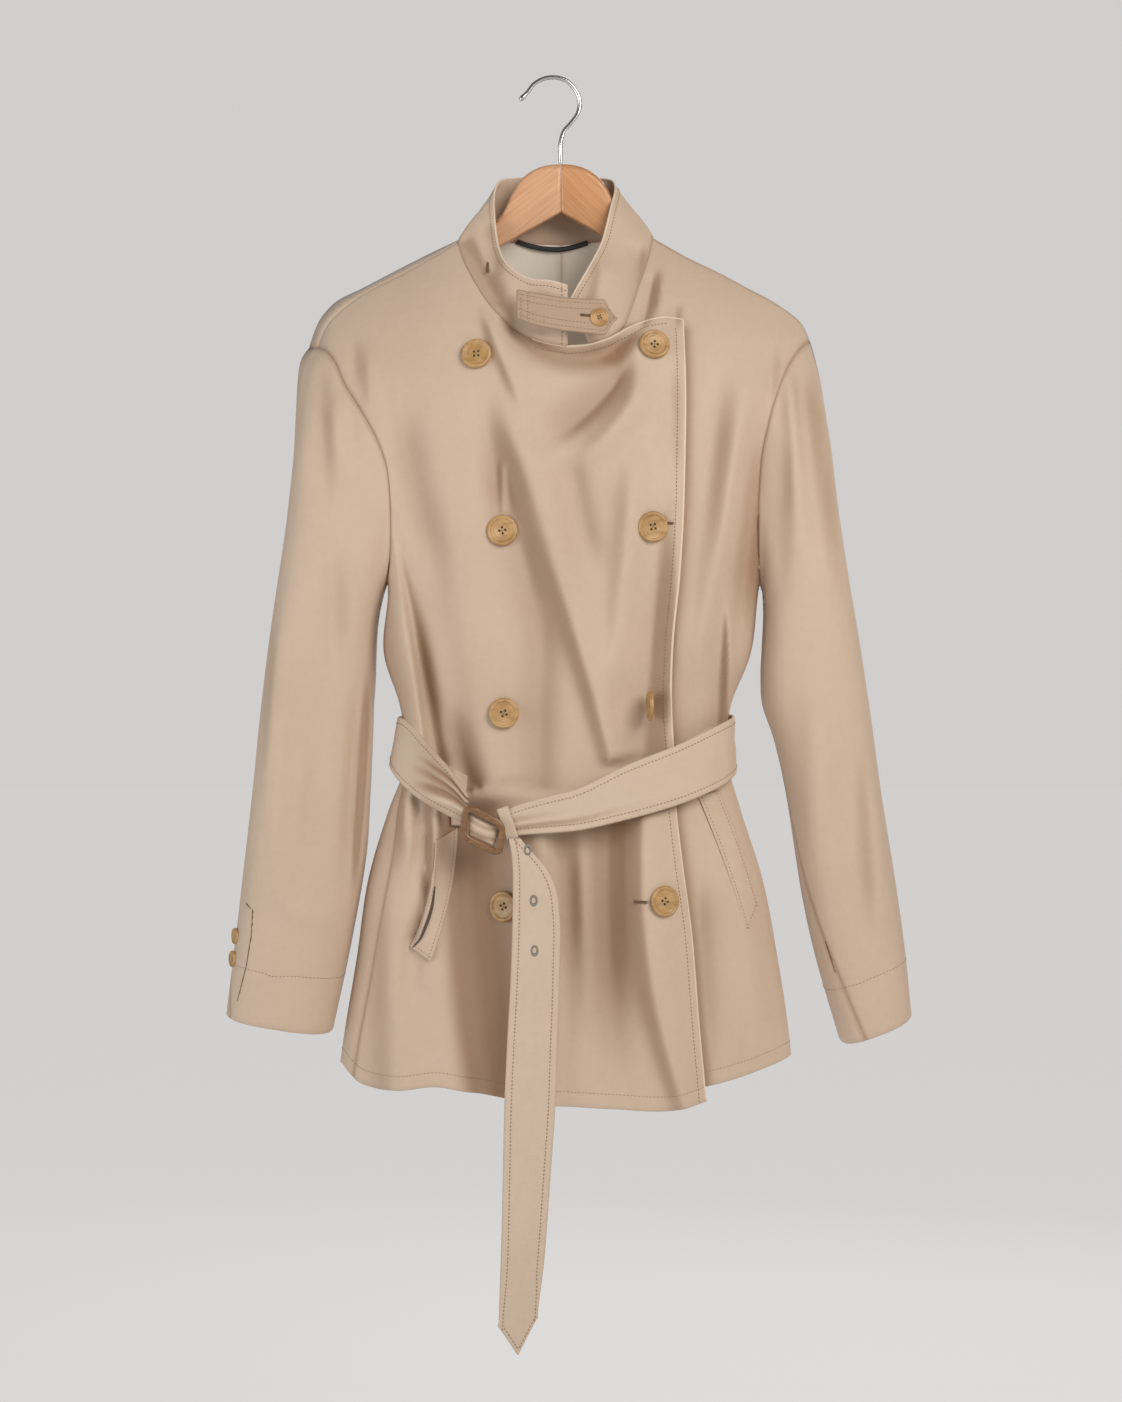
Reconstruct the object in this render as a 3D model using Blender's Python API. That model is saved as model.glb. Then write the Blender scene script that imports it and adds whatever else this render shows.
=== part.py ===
"""Short double-breasted trench coat with a stand collar and its belt, on a wooden hanger.

Run with: blender --background --python part.py
The origin is the inside top of the hanger's hook, +X is the wearer's left and +Z is up.
The front faces -Y. Tables give sizes in millimetres, and "drop" is the distance below the origin.
"""
from math import cos, pi, radians, sin

import bpy
import numpy as np
from mathutils import Vector
from mathutils.bvhtree import BVHTree

MM = 0.001

# ---- cloth and seams -------------------------------------------------------------------------
CLOTH = 1.2            # wall of the coat's cloth
BELT_CLOTH = 2.2       # the belt is doubled cloth
SEAM_GAP = 0.32        # between two sewn pieces
ARMHOLE_GAP = 0.3
REST_GAP = 0.35        # between a piece and what it lies on
LAP_LIFT = 1.7         # the over panel stands this far out, and the under panel this far in

# ---- grid ------------------------------------------------------------------------------------
ROWS_SKIRT = 16        # rows from the hem to the underarm
ROWS_CHEST = 11        # rows from the underarm to the shoulder, also half the rows round a sleeve
COLUMNS_SHOULDER = 6
COLUMNS_NECK_FRONT = 8
COLUMNS_LAPEL = 8
COLUMNS_UNDER_LAP = 4
COLUMNS_NECK_BACK = 4
ROWS_SLEEVE = 16
ROWS_COLLAR = 4
COLUMNS_BELT = 48
BELT_ROWS = 3
UNDERARM = 430.0       # drop of the underarm

# ---- hanger ----------------------------------------------------------------------------------
CENTRE_X = 6.8         # the hanger's middle hangs a little right of the hook's bearing point
WIRE_RADIUS = 2.0
WOOD_THICKNESS = 12.0


def table(names, rows):
    """A short table as named columns."""
    columns = np.array(rows, float).T
    return dict(zip(names.split(), columns))


def smooth(knots, values, at):
    """Cubic curve through the knots, level beyond both ends."""
    knots = np.asarray(knots, float)
    values = np.asarray(values, float)
    slope = np.gradient(values, knots)
    at = np.clip(at, knots[0], knots[-1])
    i = np.clip(np.searchsorted(knots, at) - 1, 0, len(knots) - 2)
    span = knots[i + 1] - knots[i]
    t = (at - knots[i]) / span
    start = (1 + 2 * t) * (1 - t) ** 2 * values[i] + t * (1 - t) ** 2 * span * slope[i]
    end = t * t * (3 - 2 * t) * values[i + 1] + t * t * (t - 1) * span * slope[i + 1]
    return start + end


def step(t):
    """Soft step from 0 to 1."""
    t = np.clip(t, 0.0, 1.0)
    return t * t * (3 - 2 * t)


def path(points, count):
    """Even points along a smooth curve through a few points."""
    points = np.asarray(points, float)
    run = np.r_[0.0, np.cumsum(np.linalg.norm(np.diff(points, axis=0), axis=1))]
    fine = np.linspace(0.0, run[-1], 40 * len(points))
    curve = np.stack([smooth(run, p, fine) for p in points.T], axis=-1)
    length = np.r_[0.0, np.cumsum(np.linalg.norm(np.diff(curve, axis=0), axis=1))]
    even = np.linspace(0.0, length[-1], count)
    return np.stack([np.interp(even, length, c) for c in curve.T], axis=-1)


def unit(vectors):
    return vectors / np.linalg.norm(vectors, axis=-1, keepdims=True)


# ---- the body tube ---------------------------------------------------------------------------
# A squared-off oval at each drop. Above the underarm it runs on inside the sleeve heads.
TORSO = table("drop left right front back square", [
    (130, -222, 230, -72, 33, 2.4),
    (228, -216, 226, -78, 34, 2.4),
    (263, -206, 221, -80, 35, 2.4),
    (315, -179, 203, -81, 35, 2.4),
    (379, -150, 186, -81, 34, 2.4),
    (430, -139, 174, -80, 33, 2.4),
    (490, -142, 166, -78, 32, 2.4),
    (535, -128, 149, -75, 30, 2.4),
    (580, -124, 147.5, -73, 28, 2.5),
    (619, -138, 158, -76, 30, 2.5),
    (676, -155, 176, -80, 33, 2.4),
    (743, -165, 189, -82, 35, 2.3),
    (810, -176, 199, -84, 36, 2.3),
    (870, -184, 204, -86, 37, 2.3),
])
# The line that the front and the back hang from along the shoulders, carried on over the neck.
# The right back panel rolls over the top and meets its front below the ridge.
RIDGE_FRONT = table("x drop", [
    (-222, 246), (-200, 227.5), (-191.5, 209.7), (-174.5, 192.7), (-161.4, 183.4), (-123.7, 163.9),
    (-80.6, 138.8), (-40, 118), (6.8, 100), (48, 114), (85, 134), (113, 150), (144.5, 165.3),
    (165, 176.4), (186, 187.4), (199, 196), (210.8, 206), (219, 221.7), (232, 240),
])
RIDGE_BACK = table("x drop", [
    (-222, 250), (-208, 227), (-197.5, 202), (-186.4, 189.5), (-162.2, 176.7), (-116.6, 153),
    (-80.6, 135.5), (-70, 110), (-50, 85), (6.8, 70), (55, 85), (75, 108), (85, 134), (113, 150),
    (144.5, 165.3), (165, 176.4), (186, 187.4), (199, 196), (210.8, 206), (219, 221.7), (232, 240),
])
SEAM_Y_RIGHT = -7.0    # depth of the wearer's right shoulder seam
CREST_Y_RIGHT = 3.0    # depth of the roll above it
SEAM_Y_LEFT = 2.0
FRONT_FALL = 3.8       # how late the front comes back to the ridge
BACK_FALL = 6.0
SIDE_FADE = 1.7        # folds fade where the wall turns to the side
RIDGE_FADE = 8         # and close to the ridge

# Turn of the side seams round the tube, in degrees from the front, and the panel edges.
SEAMS = table("drop right_side left_side", [
    (430, -88, 93), (510, -87, 93), (580, -78, 92), (650, -62, 92), (743, -64, 94), (870, -68, 96),
])
FREE_EDGE = table("drop x", [
    (205, 108.5), (272, 109.7), (323, 108.9), (380, 107.2), (427, 103.9), (476, 98.6), (528, 97.4),
    (568, 99.6), (616, 101.5), (659, 106.4), (720, 114.6), (793, 120.4), (870, 127.4),
])
HIDDEN_EDGE_X = -58.0
HEM_OVER = table("x drop", [
    (-179, 831), (-163, 844), (-148, 848), (-128, 849), (-95, 846), (-62, 852), (-37, 856),
    (6, 860), (50, 863), (101, 864), (127, 857),
])
HEM_UNDER = table("x drop", [(-58, 850), (60, 850), (130, 845), (152, 840), (179, 832), (201, 825)])
HEM_BACK = table("x drop", [
    (-179, 831), (-163, 844), (-148, 848), (-80, 842), (0, 840), (100, 842), (152, 840), (179, 832),
    (201, 825),
])

# Folds: a line from (x0, drop0) to (x1, drop1), bent sideways in the middle, with a rise towards
# the viewer, a width on its left and right, and the share of its length that it takes to start
# and to end. Rises under 0 are hollows.
FOLD_COLUMNS = "x0 drop0 x1 drop1 bend rise wide_left wide_right start end"
FRONT_FOLDS = table(FOLD_COLUMNS, [
    (-133, 370, -98, 585, 2, 12, 17, 9, 0.5, 0.05),     # loose strip beside the right sleeve
    (-118, 400, -82, 590, 2, -6, 9, 16, 0.5, 0.05),       # hollow beside it
    (146, 380, 134, 560, -2, -7, 9, 9, 0.4, 0.1),         # crease beside the left sleeve
    (159, 400, 146, 560, -1, 7, 8, 8, 0.4, 0.1),
    (-117, 590, -128, 700, 4, 9, 14, 8, 0.1, 0.7),      # first pleat under the belt
    (-95, 596, -118, 735, 7, 9, 12, 8, 0.1, 0.6),       # second pleat, down to the pocket
    (-83, 600, -85, 700, 4, -5, 8, 13, 0.1, 0.7),
    (-55, 185, 40, 520, -8, 6, 16, 20, 0.2, 0.6),         # drape from the neck
    (-28, 235, 62, 540, -10, -6, 16, 18, 0.3, 0.6),
    (60, 236, -10, 330, -6, -5, 14, 14, 0.3, 0.5),        # drape from the top button
    (40, 270, 20, 345, 0, -5, 22, 22, 0.4, 0.4),
    (52, 610, 60, 858, -6, -6, 15, 18, 0.1, 0.05),        # skirt troughs and ridges
    (12, 640, 8, 858, 3, 4, 18, 18, 0.2, 0.05),
    (86, 640, 84, 864, 4, 4, 14, 14, 0.2, 0.05),
    (-68, 690, -72, 850, 3, 5, 16, 16, 0.3, 0.05),
    (-112, 735, -118, 850, 0, -4, 12, 14, 0.3, 0.05),
    (150, 610, 168, 835, 4, 4, 12, 12, 0.1, 0.1),
])
BACK_FOLDS = table(FOLD_COLUMNS, [
    (-60, 200, -96, 560, 4, 5, 18, 20, 0.3, 0.2),
    (74, 190, 118, 560, -4, 5, 20, 18, 0.3, 0.2),
    (-110, 470, -84, 585, 2, -5, 12, 14, 0.4, 0.05),
    (128, 470, 104, 585, 2, -5, 14, 12, 0.4, 0.05),
    (-74, 590, -96, 835, 3, 6, 16, 14, 0.05, 0.1),
    (-30, 590, -38, 838, -2, -5, 15, 18, 0.05, 0.1),
    (38, 590, 44, 838, 2, 5, 18, 16, 0.05, 0.1),
    (96, 590, 118, 836, -3, -5, 15, 17, 0.05, 0.1),
])


def folds(rows, x, drop):
    """Height of the folds at a place: each is a soft ridge with its own width on either side."""
    total = np.zeros(np.broadcast(x, drop).shape)
    for i in range(len(rows["x0"])):
        f = {name: column[i] for name, column in rows.items()}
        t = (drop - f["drop0"]) / (f["drop1"] - f["drop0"])
        inside = np.clip(t, 0.0, 1.0)
        line = f["x0"] + (f["x1"] - f["x0"]) * inside + f["bend"] * 4 * inside * (1 - inside)
        wide = np.where(x < line, f["wide_left"], f["wide_right"])
        fade = step(t / f["start"]) * step((1 - t) / f["end"])
        total = total + f["rise"] * np.exp(-(((x - line) / wide) ** 2)) * fade
    return total


def oval(drop):
    """Middle, half width and half depth of the body tube at a drop, and its squareness."""
    names = ("left", "right", "front", "back", "square")
    left, right, front, back, square = (smooth(TORSO["drop"], TORSO[name], drop) for name in names)
    return (left + right) / 2, (front + back) / 2, (right - left) / 2, (back - front) / 2, square


def turn_at(x, drop):
    """Turn round the tube of a place on its front."""
    middle, _, half, _, square = oval(drop)
    u = np.clip((x - middle) / half, -1.0, 1.0)
    return np.arcsin(np.sign(u) * np.abs(u) ** (square / 2))


def ring_x(turn, drop):
    middle, _, half, _, square = oval(drop)
    return middle + half * np.sign(np.sin(turn)) * np.abs(np.sin(turn)) ** (2 / square)


def rise_to(ridge, x, drop):
    """How far a place is from the underarm, at 0, to the shoulder ridge, at 1."""
    top = smooth(ridge["x"], ridge["drop"], x)
    return np.clip((UNDERARM - drop) / (UNDERARM - top), 0.0, 1.0)


def skin(x, drop, facing, lift=0.0):
    """Depth of the coat's outside at (x, drop), on its front where facing is -1, on its back at 1:
    the tube's wall, brought back to the ridge above the underarm, with the folds added."""
    middle_x, middle_y, half, deep, square = oval(drop)
    u = np.clip(np.abs((x - middle_x) / half), 0.0, 1.0)
    wall = (1 - u ** square) ** (1 / square)
    tube = middle_y + facing * deep * wall
    front = facing < 0
    rise = np.where(front, rise_to(RIDGE_FRONT, x, drop), rise_to(RIDGE_BACK, x, drop))
    fall = np.where(front, FRONT_FALL, BACK_FALL)
    right_y = np.where(front, SEAM_Y_RIGHT, CREST_Y_RIGHT)
    ridge_y = right_y + (SEAM_Y_LEFT - right_y) * step((x + 40) / 90)
    height = np.where(front, folds(FRONT_FOLDS, x, drop), folds(BACK_FOLDS, x, drop))
    out = (height + lift) * np.clip(SIDE_FADE * wall, 0.0, 1.0) * (1 - rise ** RIDGE_FADE)
    return tube + (ridge_y - tube) * rise ** fall + facing * out


# ---- lines that the panels meet at, as (x, drop) -----------------------------------------------
NECK_RIGHT = [(-80.6, 138.8), (-75.9, 154.4), (-67.9, 172.3), (-56.7, 191.8), (-43, 209.2),
              (-27, 222), (-8, 230.3), (11.8, 234.3)]
NECK_LEFT = [(30.8, 233), (45.7, 227.6), (59, 216), (66, 199.3), (71.2, 183), (77.4, 164.5),
             (82, 149), (85, 134)]
LAPEL = [(11.8, 234.3), (27.4, 233.1), (46.4, 227.4), (65.3, 216.6), (81, 210), (97, 207.4), (108.4, 209)]
UNDER_TOP = [(-58, 268), (-20, 262), (12, 252), (30.8, 233)]
SHOULDER_RIGHT = [(-199.5, 228), (-191.5, 209.7), (-174.5, 192.7), (-161.4, 183.4), (-123.7, 163.9),
                  (-80.6, 138.8)]
SHOULDER_LEFT = [(219, 221.7), (210.8, 206), (199, 196), (186, 187.4), (165, 176.4), (144.5, 165.3),
                 (113, 150), (85, 134)]
BACK_NECK_RIGHT = [(-80.6, 138.8), (-76, 135), (-60, 134), (-28, 136), (CENTRE_X, 137)]
BACK_NECK_LEFT = [(85, 134), (80, 131.5), (64, 132), (36, 135), (CENTRE_X, 137)]
ARM_FRONT_RIGHT = [(-139, 430), (-136.4, 412), (-135.2, 385), (-135.6, 356), (-138, 334), (-144.4, 314.7),
                   (-160, 285.7), (-174, 263), (-186.1, 238.6), (-194.4, 230.7), (-199.5, 228)]
ARM_BACK_RIGHT = [(-139, 430), (-138, 412), (-139.5, 385), (-143, 345), (-152, 305), (-168, 275),
                  (-186, 250), (-200, 234), (-208, 227)]
CREST_RIGHT = [(-208, 227), (-197.5, 202), (-186.4, 189.5), (-162.2, 176.7), (-116.6, 153), (-80.6, 135.5)]
ROLL_START = 0.965     # share of its height at which the back neck's last row begins
ARM_FRONT_LEFT = [(174, 430), (172.5, 413), (171.5, 387.4), (172, 350.6), (174, 323.2), (180, 296.1),
                  (188.1, 269.3), (198.2, 246.2), (207.5, 232.2), (215, 224.5), (219, 221.7)]
ARM_BACK_LEFT = [(174, 430), (172.5, 412), (172.6, 385), (175, 345), (181, 305), (191, 272),
                 (204, 246), (214, 228), (219, 221.7)]


def even_shares(start, end, count):
    """Shares of the way from one turn to the other that lie evenly along the tube's wall."""
    turns = np.linspace(start, end, 600)
    _, _, _, deep, square = oval(UNDERARM)
    x = ring_x(turns, UNDERARM)
    y = -deep * np.sign(np.cos(turns)) * np.abs(np.cos(turns)) ** (2 / square)
    run = np.r_[0.0, np.cumsum(np.hypot(np.diff(x), np.diff(y)))]
    return np.interp(np.linspace(0, run[-1], count), run, np.linspace(0, 1, 600))


EDGE_REACH = 2.0       # how soon a panel's columns forget the shape of its armhole or free edge
HEM_LEVEL = 845.0      # drop at which the hem's places round the tube are found


def panel(start, end, hem, top, side_start, side_end, facing, lift):
    """Outside of one panel as a grid: rows from the hem up, columns from start to end.

    Below the underarm a row runs round the tube between two turns. Above it the rows move from
    the underarm ring to the top line, while their ends follow the armhole or the panel's edge.
    """
    columns = len(top)
    share = even_shares(start(UNDERARM), end(UNDERARM), columns)[None, :]
    level = np.linspace(0.0, 1.0, ROWS_SKIRT + 1)[:-1, None]
    guess = start(HEM_LEVEL) + (end(HEM_LEVEL) - start(HEM_LEVEL)) * share
    hem_drop = smooth(hem["x"], hem["drop"], ring_x(guess, HEM_LEVEL))
    drop = hem_drop + (UNDERARM - hem_drop) * level
    turn = start(drop) + (end(drop) - start(drop)) * share
    x = ring_x(turn, drop)
    y = skin(x, drop, np.where(np.cos(turn) > 0, -1, 1), lift(x))
    lower = np.stack([x, y, drop], axis=-1)

    ring = start(UNDERARM) + (end(UNDERARM) - start(UNDERARM)) * share[0]
    bottom = np.stack([ring_x(ring, UNDERARM), np.full(columns, UNDERARM)], axis=-1)
    level = np.linspace(0.0, 1.0, len(side_start))[:, None, None]
    flat = bottom[None] * (1 - level) + top[None] * level
    near_start = (1 - share[..., None]) ** EDGE_REACH
    near_end = share[..., None] ** EDGE_REACH
    flat = (flat + near_start * (side_start - flat[:, 0])[:, None]
            + near_end * (side_end - flat[:, -1])[:, None])
    x, drop = flat[..., 0], flat[..., 1]
    upper = np.stack([x, skin(x, drop, np.full(x.shape, facing), lift(x)), drop], axis=-1)
    return np.concatenate([lower, upper])


def joined(*runs):
    """Neighbouring runs of points, with each shared end point once."""
    return np.concatenate([runs[0]] + [run[1:] for run in runs[1:]])


def seam_turn(name):
    return lambda drop: np.radians(smooth(SEAMS["drop"], SEAMS[name], drop))


def free_edge_x(drop):
    return smooth(FREE_EDGE["drop"], FREE_EDGE["x"], drop)


def edge_line(x_of_drop, top_point, rows=ROWS_CHEST):
    """Upper rows of an unsewn edge or the centre-back seam, from the underarm up."""
    drop = np.linspace(UNDERARM, top_point[1], rows + 1)
    return np.stack([x_of_drop(drop), drop], axis=-1)


def front_right_grid():
    shoulder = path(SHOULDER_RIGHT, COLUMNS_SHOULDER + 1)
    neck = path(NECK_RIGHT, COLUMNS_NECK_FRONT + 1)
    lapel = path(LAPEL, COLUMNS_LAPEL + 1)
    top = joined(shoulder, neck, lapel)
    arm = path(ARM_FRONT_RIGHT, ROWS_CHEST + 1)
    edge = edge_line(free_edge_x, top[-1])
    return panel(seam_turn("right_side"), lambda drop: turn_at(free_edge_x(drop), drop), HEM_OVER,
                 top, arm, edge, -1, lambda x: LAP_LIFT * step((x + 125) / 60))


def front_left_grid():
    hidden = path(UNDER_TOP, COLUMNS_UNDER_LAP + 1)
    neck = path(NECK_LEFT, COLUMNS_NECK_FRONT + 1)
    shoulder = path(SHOULDER_LEFT[::-1], COLUMNS_SHOULDER + 1)
    top = joined(hidden, neck, shoulder)
    edge = edge_line(lambda drop: HIDDEN_EDGE_X + 0 * drop, top[0])
    arm = path(ARM_FRONT_LEFT, ROWS_CHEST + 1)
    return panel(lambda drop: turn_at(HIDDEN_EDGE_X, drop), seam_turn("left_side"), HEM_UNDER,
                 top, edge, arm, -1, lambda x: -LAP_LIFT * step((172 - x) / 60))


def centre_back_turn(centre):
    """Turn of the centre-back seam, which hangs straight below the neck."""
    def turn(drop):
        middle, _, half, _, square = oval(drop)
        u = (CENTRE_X - middle) / half
        return centre - np.arcsin(np.sign(u) * np.abs(u) ** (square / 2))
    return turn


def back_left_grid():
    top = joined(path(SHOULDER_LEFT, COLUMNS_SHOULDER + 1), path(BACK_NECK_LEFT, COLUMNS_NECK_BACK + 1))
    arm = path(ARM_BACK_LEFT, ROWS_CHEST + 1)
    middle = edge_line(lambda drop: CENTRE_X + 0 * drop, top[-1])
    return panel(seam_turn("left_side"), centre_back_turn(pi), HEM_BACK, top, arm, middle, 1, lambda x: 0 * x)


def back_right_grid():
    """As the left one, with one more row that rolls over the shoulder to its seam in front."""
    neck = path(BACK_NECK_RIGHT, COLUMNS_NECK_BACK + 1)
    seam = joined(path(SHOULDER_RIGHT, COLUMNS_SHOULDER + 1), neck)
    below = neck + (UNDERARM - neck) * [0.0, 1 - ROLL_START]
    crest = joined(path(CREST_RIGHT, COLUMNS_SHOULDER + 1), below)
    arm = path(ARM_BACK_RIGHT, ROWS_CHEST)
    middle = edge_line(lambda drop: CENTRE_X + 0 * drop, crest[-1], ROWS_CHEST - 1)
    grid = panel(seam_turn("right_side"), centre_back_turn(-pi), HEM_BACK,
                 crest, arm, middle, 1, lambda x: 0 * x)
    seam_y = skin(seam[:, 0], seam[:, 1], np.ones(len(seam)))
    seam_y[: COLUMNS_SHOULDER + 1] = skin(seam[:, 0], seam[:, 1], -np.ones(len(seam)))[: COLUMNS_SHOULDER + 1]
    last = np.stack([seam[:, 0], seam_y, seam[:, 1]], axis=-1)
    return np.concatenate([grid, last[None]])[:, ::-1]


# ---- sleeves ---------------------------------------------------------------------------------
# One row for each ring, from the armhole to the cuff: its outer and inner ends as seen from the
# front, its front and back, and the two seams in degrees round the ring, 0 outside and 90 in front.
SLEEVE_COLUMNS = "outer_x outer_drop inner_x inner_drop front back back_seam front_seam"
SLEEVES = {
    "right": table(SLEEVE_COLUMNS, [
        (-199.5, 228, -139, 430, -60, 30, -30, 180),
        (-209, 246, -143, 441, -61, 30, -28, 182),
        (-215, 288, -146, 454, -62, 29, -26, 186),
        (-219.5, 334, -148, 468, -63, 28, -24, 190),
        (-225.5, 386, -149, 486, -63, 27, -22, 190),
        (-233, 436, -149.5, 508, -63, 26, -20, 190),
        (-240.5, 490, -151, 532, -63, 25, -18, 190),
        (-247, 545, -152, 562, -62, 24, -16, 190),
        (-253, 605, -154, 607, -62, 22, -14, 190),
        (-261.5, 680, -157.5, 660, -62, 20, -10, 190),
        (-268, 736, -170, 732, -62, 18, 2, 190),
        (-274.5, 789, -185, 803, -60, 14, 30, 190),
    ]),
    "left": table(SLEEVE_COLUMNS, [
        (219, 221.7, 174, 430, -60, 30, -30, 180),
        (225.5, 250, 177.5, 441, -61, 30, -30, 180),
        (230.5, 284, 178.2, 454, -62, 29, -32, 180),
        (235, 326, 177.5, 468, -63, 28, -34, 182),
        (240.5, 372, 176.5, 486, -64, 28, -36, 184),
        (248, 420, 175.5, 506, -65, 27, -38, 185),
        (258, 478, 177, 532, -66, 27, -40, 185),
        (268, 545, 187, 562, -66, 26, -42, 185),
        (276, 605, 197, 607, -66, 25, -44, 178),
        (287.5, 676, 210, 690, -65, 24, -46, 150),
        (296, 736, 222, 745, -63, 22, -48, 128),
        (301.5, 789, 241.5, 812, -60, 20, -50, 106),
    ]),
}
SLEEVE_SQUARE = 2.2
BLEND_RINGS = 3.0       # rings over which the armhole's bowed line turns into plain rings
TOP_SLEEVE_COLUMNS = 13
BACK_SEAM_COLUMNS = 2     # columns from the shoulder back to the back seam
CUFF_DIP = 5.0          # the cuff's front edge hangs lower than its back


def sleeve_grid(side, loop):
    """Whole sleeve as a closed grid: rows from the armhole down, columns round from the back seam."""
    rows = SLEEVES[side]
    rings = len(rows["outer_x"])
    count = len(loop)
    at = np.linspace(0, rings - 1, ROWS_SLEEVE + 1)[:, None]
    knots = np.arange(rings)
    ring = {name: smooth(knots, column, at) for name, column in rows.items()}
    top = np.linspace(0, 1, TOP_SLEEVE_COLUMNS + 1)[None, :-1]
    under = np.linspace(0, 1, count - TOP_SLEEVE_COLUMNS + 1)[None, :-1]
    angle_top = ring["back_seam"] + (ring["front_seam"] - ring["back_seam"]) * top
    angle_under = ring["front_seam"] + (ring["back_seam"] + 360 - ring["front_seam"]) * under
    angle = np.radians(np.concatenate([angle_top, angle_under], axis=1))
    power = 2 / SLEEVE_SQUARE
    across = np.sign(np.cos(angle)) * np.abs(np.cos(angle)) ** power
    deep = np.sign(np.sin(angle)) * np.abs(np.sin(angle)) ** power
    x = (ring["outer_x"] + ring["inner_x"]) / 2 + (ring["outer_x"] - ring["inner_x"]) / 2 * across
    y = (ring["front"] + ring["back"]) / 2 - (ring["back"] - ring["front"]) / 2 * deep
    drop = (ring["outer_drop"] + ring["inner_drop"]) / 2
    drop = drop + (ring["outer_drop"] - ring["inner_drop"]) / 2 * across
    drop = drop + CUFF_DIP * (at / (rings - 1)) ** 6 * np.clip(deep, 0, 1)
    grid = np.stack([x, y, drop], axis=-1)
    start = np.roll(loop, BACK_SEAM_COLUMNS, axis=0)
    held = (1 - step(at / BLEND_RINGS))[..., None]
    return grid + (start - grid[0])[None] * held


# ---- collar ----------------------------------------------------------------------------------
# Top rim, by station along the neckline: 0 is the right front end, 8 and 16 the shoulders.
COLLAR_RIM = table("station x y drop", [
    (0, 11.8, -66, 184.2), (1.5, -2.3, -63, 179.8), (2.8, -18.1, -57, 177.6), (4, -32.4, -48, 169),
    (5.2, -41.7, -37, 157.5), (6, -46.1, -27, 145.2), (7.2, -49.5, -11, 118), (8, -50, 2, 100),
    (9, -45, 16, 84), (10, -32, 24, 80), (12, 6.8, 28, 79), (14, 38, 24, 80), (15, 50, 15, 84),
    (16, 52.4, 2, 95), (16.8, 49.6, -11, 108), (18.2, 42.2, -27, 139.4), (19.8, 32.7, -43, 161.2),
    (21.8, 20.1, -57, 184.3), (24, 13, -62, 198),
])
COLLAR_BOW = 2.5
NECK_MIDDLE_Y = -20.0  # depth of the middle of the neck


def collar_grid(base):
    """The stand collar from the neckline up to its rim, bowed out a little between them."""
    station = np.arange(len(base))
    rim = np.stack([smooth(COLLAR_RIM["station"], COLLAR_RIM[name], station)
                    for name in "x y drop".split()], axis=-1)
    level = np.linspace(0, 1, ROWS_COLLAR + 1)[:, None, None]
    out = unit(np.stack([base[:, 0] - CENTRE_X, base[:, 1] - NECK_MIDDLE_Y, 0 * station], axis=-1))
    return base[None] * (1 - level) + rim[None] * level + COLLAR_BOW * out[None] * np.sin(pi * level)


# ---- meshes ----------------------------------------------------------------------------------
def material(name, colour, roughness, metallic=0.0):
    m = bpy.data.materials.new(name)
    m.use_nodes = True
    shader = m.node_tree.nodes["Principled BSDF"]
    shader.inputs["Base Color"].default_value = (*colour, 1.0)
    shader.inputs["Roughness"].default_value = roughness
    shader.inputs["Metallic"].default_value = metallic
    return m


def add_mesh(name, points, faces, look):
    """A named object from points given as (x, y, drop) in millimetres, its faces cut to triangles."""
    faces = [(face[0], face[i], face[i + 1]) for face in faces for i in range(1, len(face) - 1)]
    points = np.asarray(points, float).reshape(-1, 3)
    world = np.stack([points[:, 0], points[:, 1], -points[:, 2]], axis=-1) * MM
    mesh = bpy.data.meshes.new(name)
    mesh.from_pydata(world.tolist(), [], faces)
    mesh.polygons.foreach_set("use_smooth", [True] * len(mesh.polygons))
    mesh.materials.append(look)
    mesh.update()
    thing = bpy.data.objects.new(name, mesh)
    bpy.context.collection.objects.link(thing)
    return thing


def inward_normals(grid, closed=False):
    """Unit directions into the cloth at every grid point."""
    down_row = np.gradient(grid, axis=0)
    if closed:
        along = (np.roll(grid, -1, axis=1) - np.roll(grid, 1, axis=1)) / 2
    else:
        along = np.gradient(grid, axis=1)
    return unit(np.cross(along, down_row))


def shell(name, grid, thickness, look, inward=None, closed=False):
    """A wall of even thickness behind a grid of outside points, open or closed round its columns."""
    if inward is None:
        inward = inward_normals(grid, closed)
    rows, columns = grid.shape[:2]
    points = np.concatenate([grid.reshape(-1, 3), (grid + inward * thickness).reshape(-1, 3)])
    inner = rows * columns
    faces = []
    for r in range(rows - 1):
        for c in range(columns if closed else columns - 1):
            d = (c + 1) % columns
            a, b, e, f = r * columns + c, r * columns + d, (r + 1) * columns + d, (r + 1) * columns + c
            faces.append((a, b, e, f))
            faces.append((inner + e, inner + b, inner + a, inner + f))
    for c in range(columns if closed else columns - 1):
        d = (c + 1) % columns
        last = (rows - 1) * columns
        faces.append((d, c, inner + c, inner + d))
        faces.append((last + c, last + d, inner + last + d, inner + last + c))
    if not closed:
        for r in range(rows - 1):
            a, b = r * columns, (r + 1) * columns
            faces.append((a, b, inner + b, inner + a))
            a, b = a + columns - 1, b + columns - 1
            faces.append((b, a, inner + a, inner + b))
    return add_mesh(name, points, faces, look)


def trimmed(grid, bottom=0.0, top=0.0, start=0.0, end=0.0):
    """The grid with its edges drawn in along its own lines, to leave the gap of a seam."""
    grid = grid.copy()
    for amount, edge, inner in ((bottom, 0, 1), (top, -1, -2)):
        grid[edge] += unit(grid[inner] - grid[edge]) * amount
    for amount, edge, inner in ((start, 0, 1), (end, -1, -2)):
        grid[:, edge] += unit(grid[:, inner] - grid[:, edge]) * amount
    return grid


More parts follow.
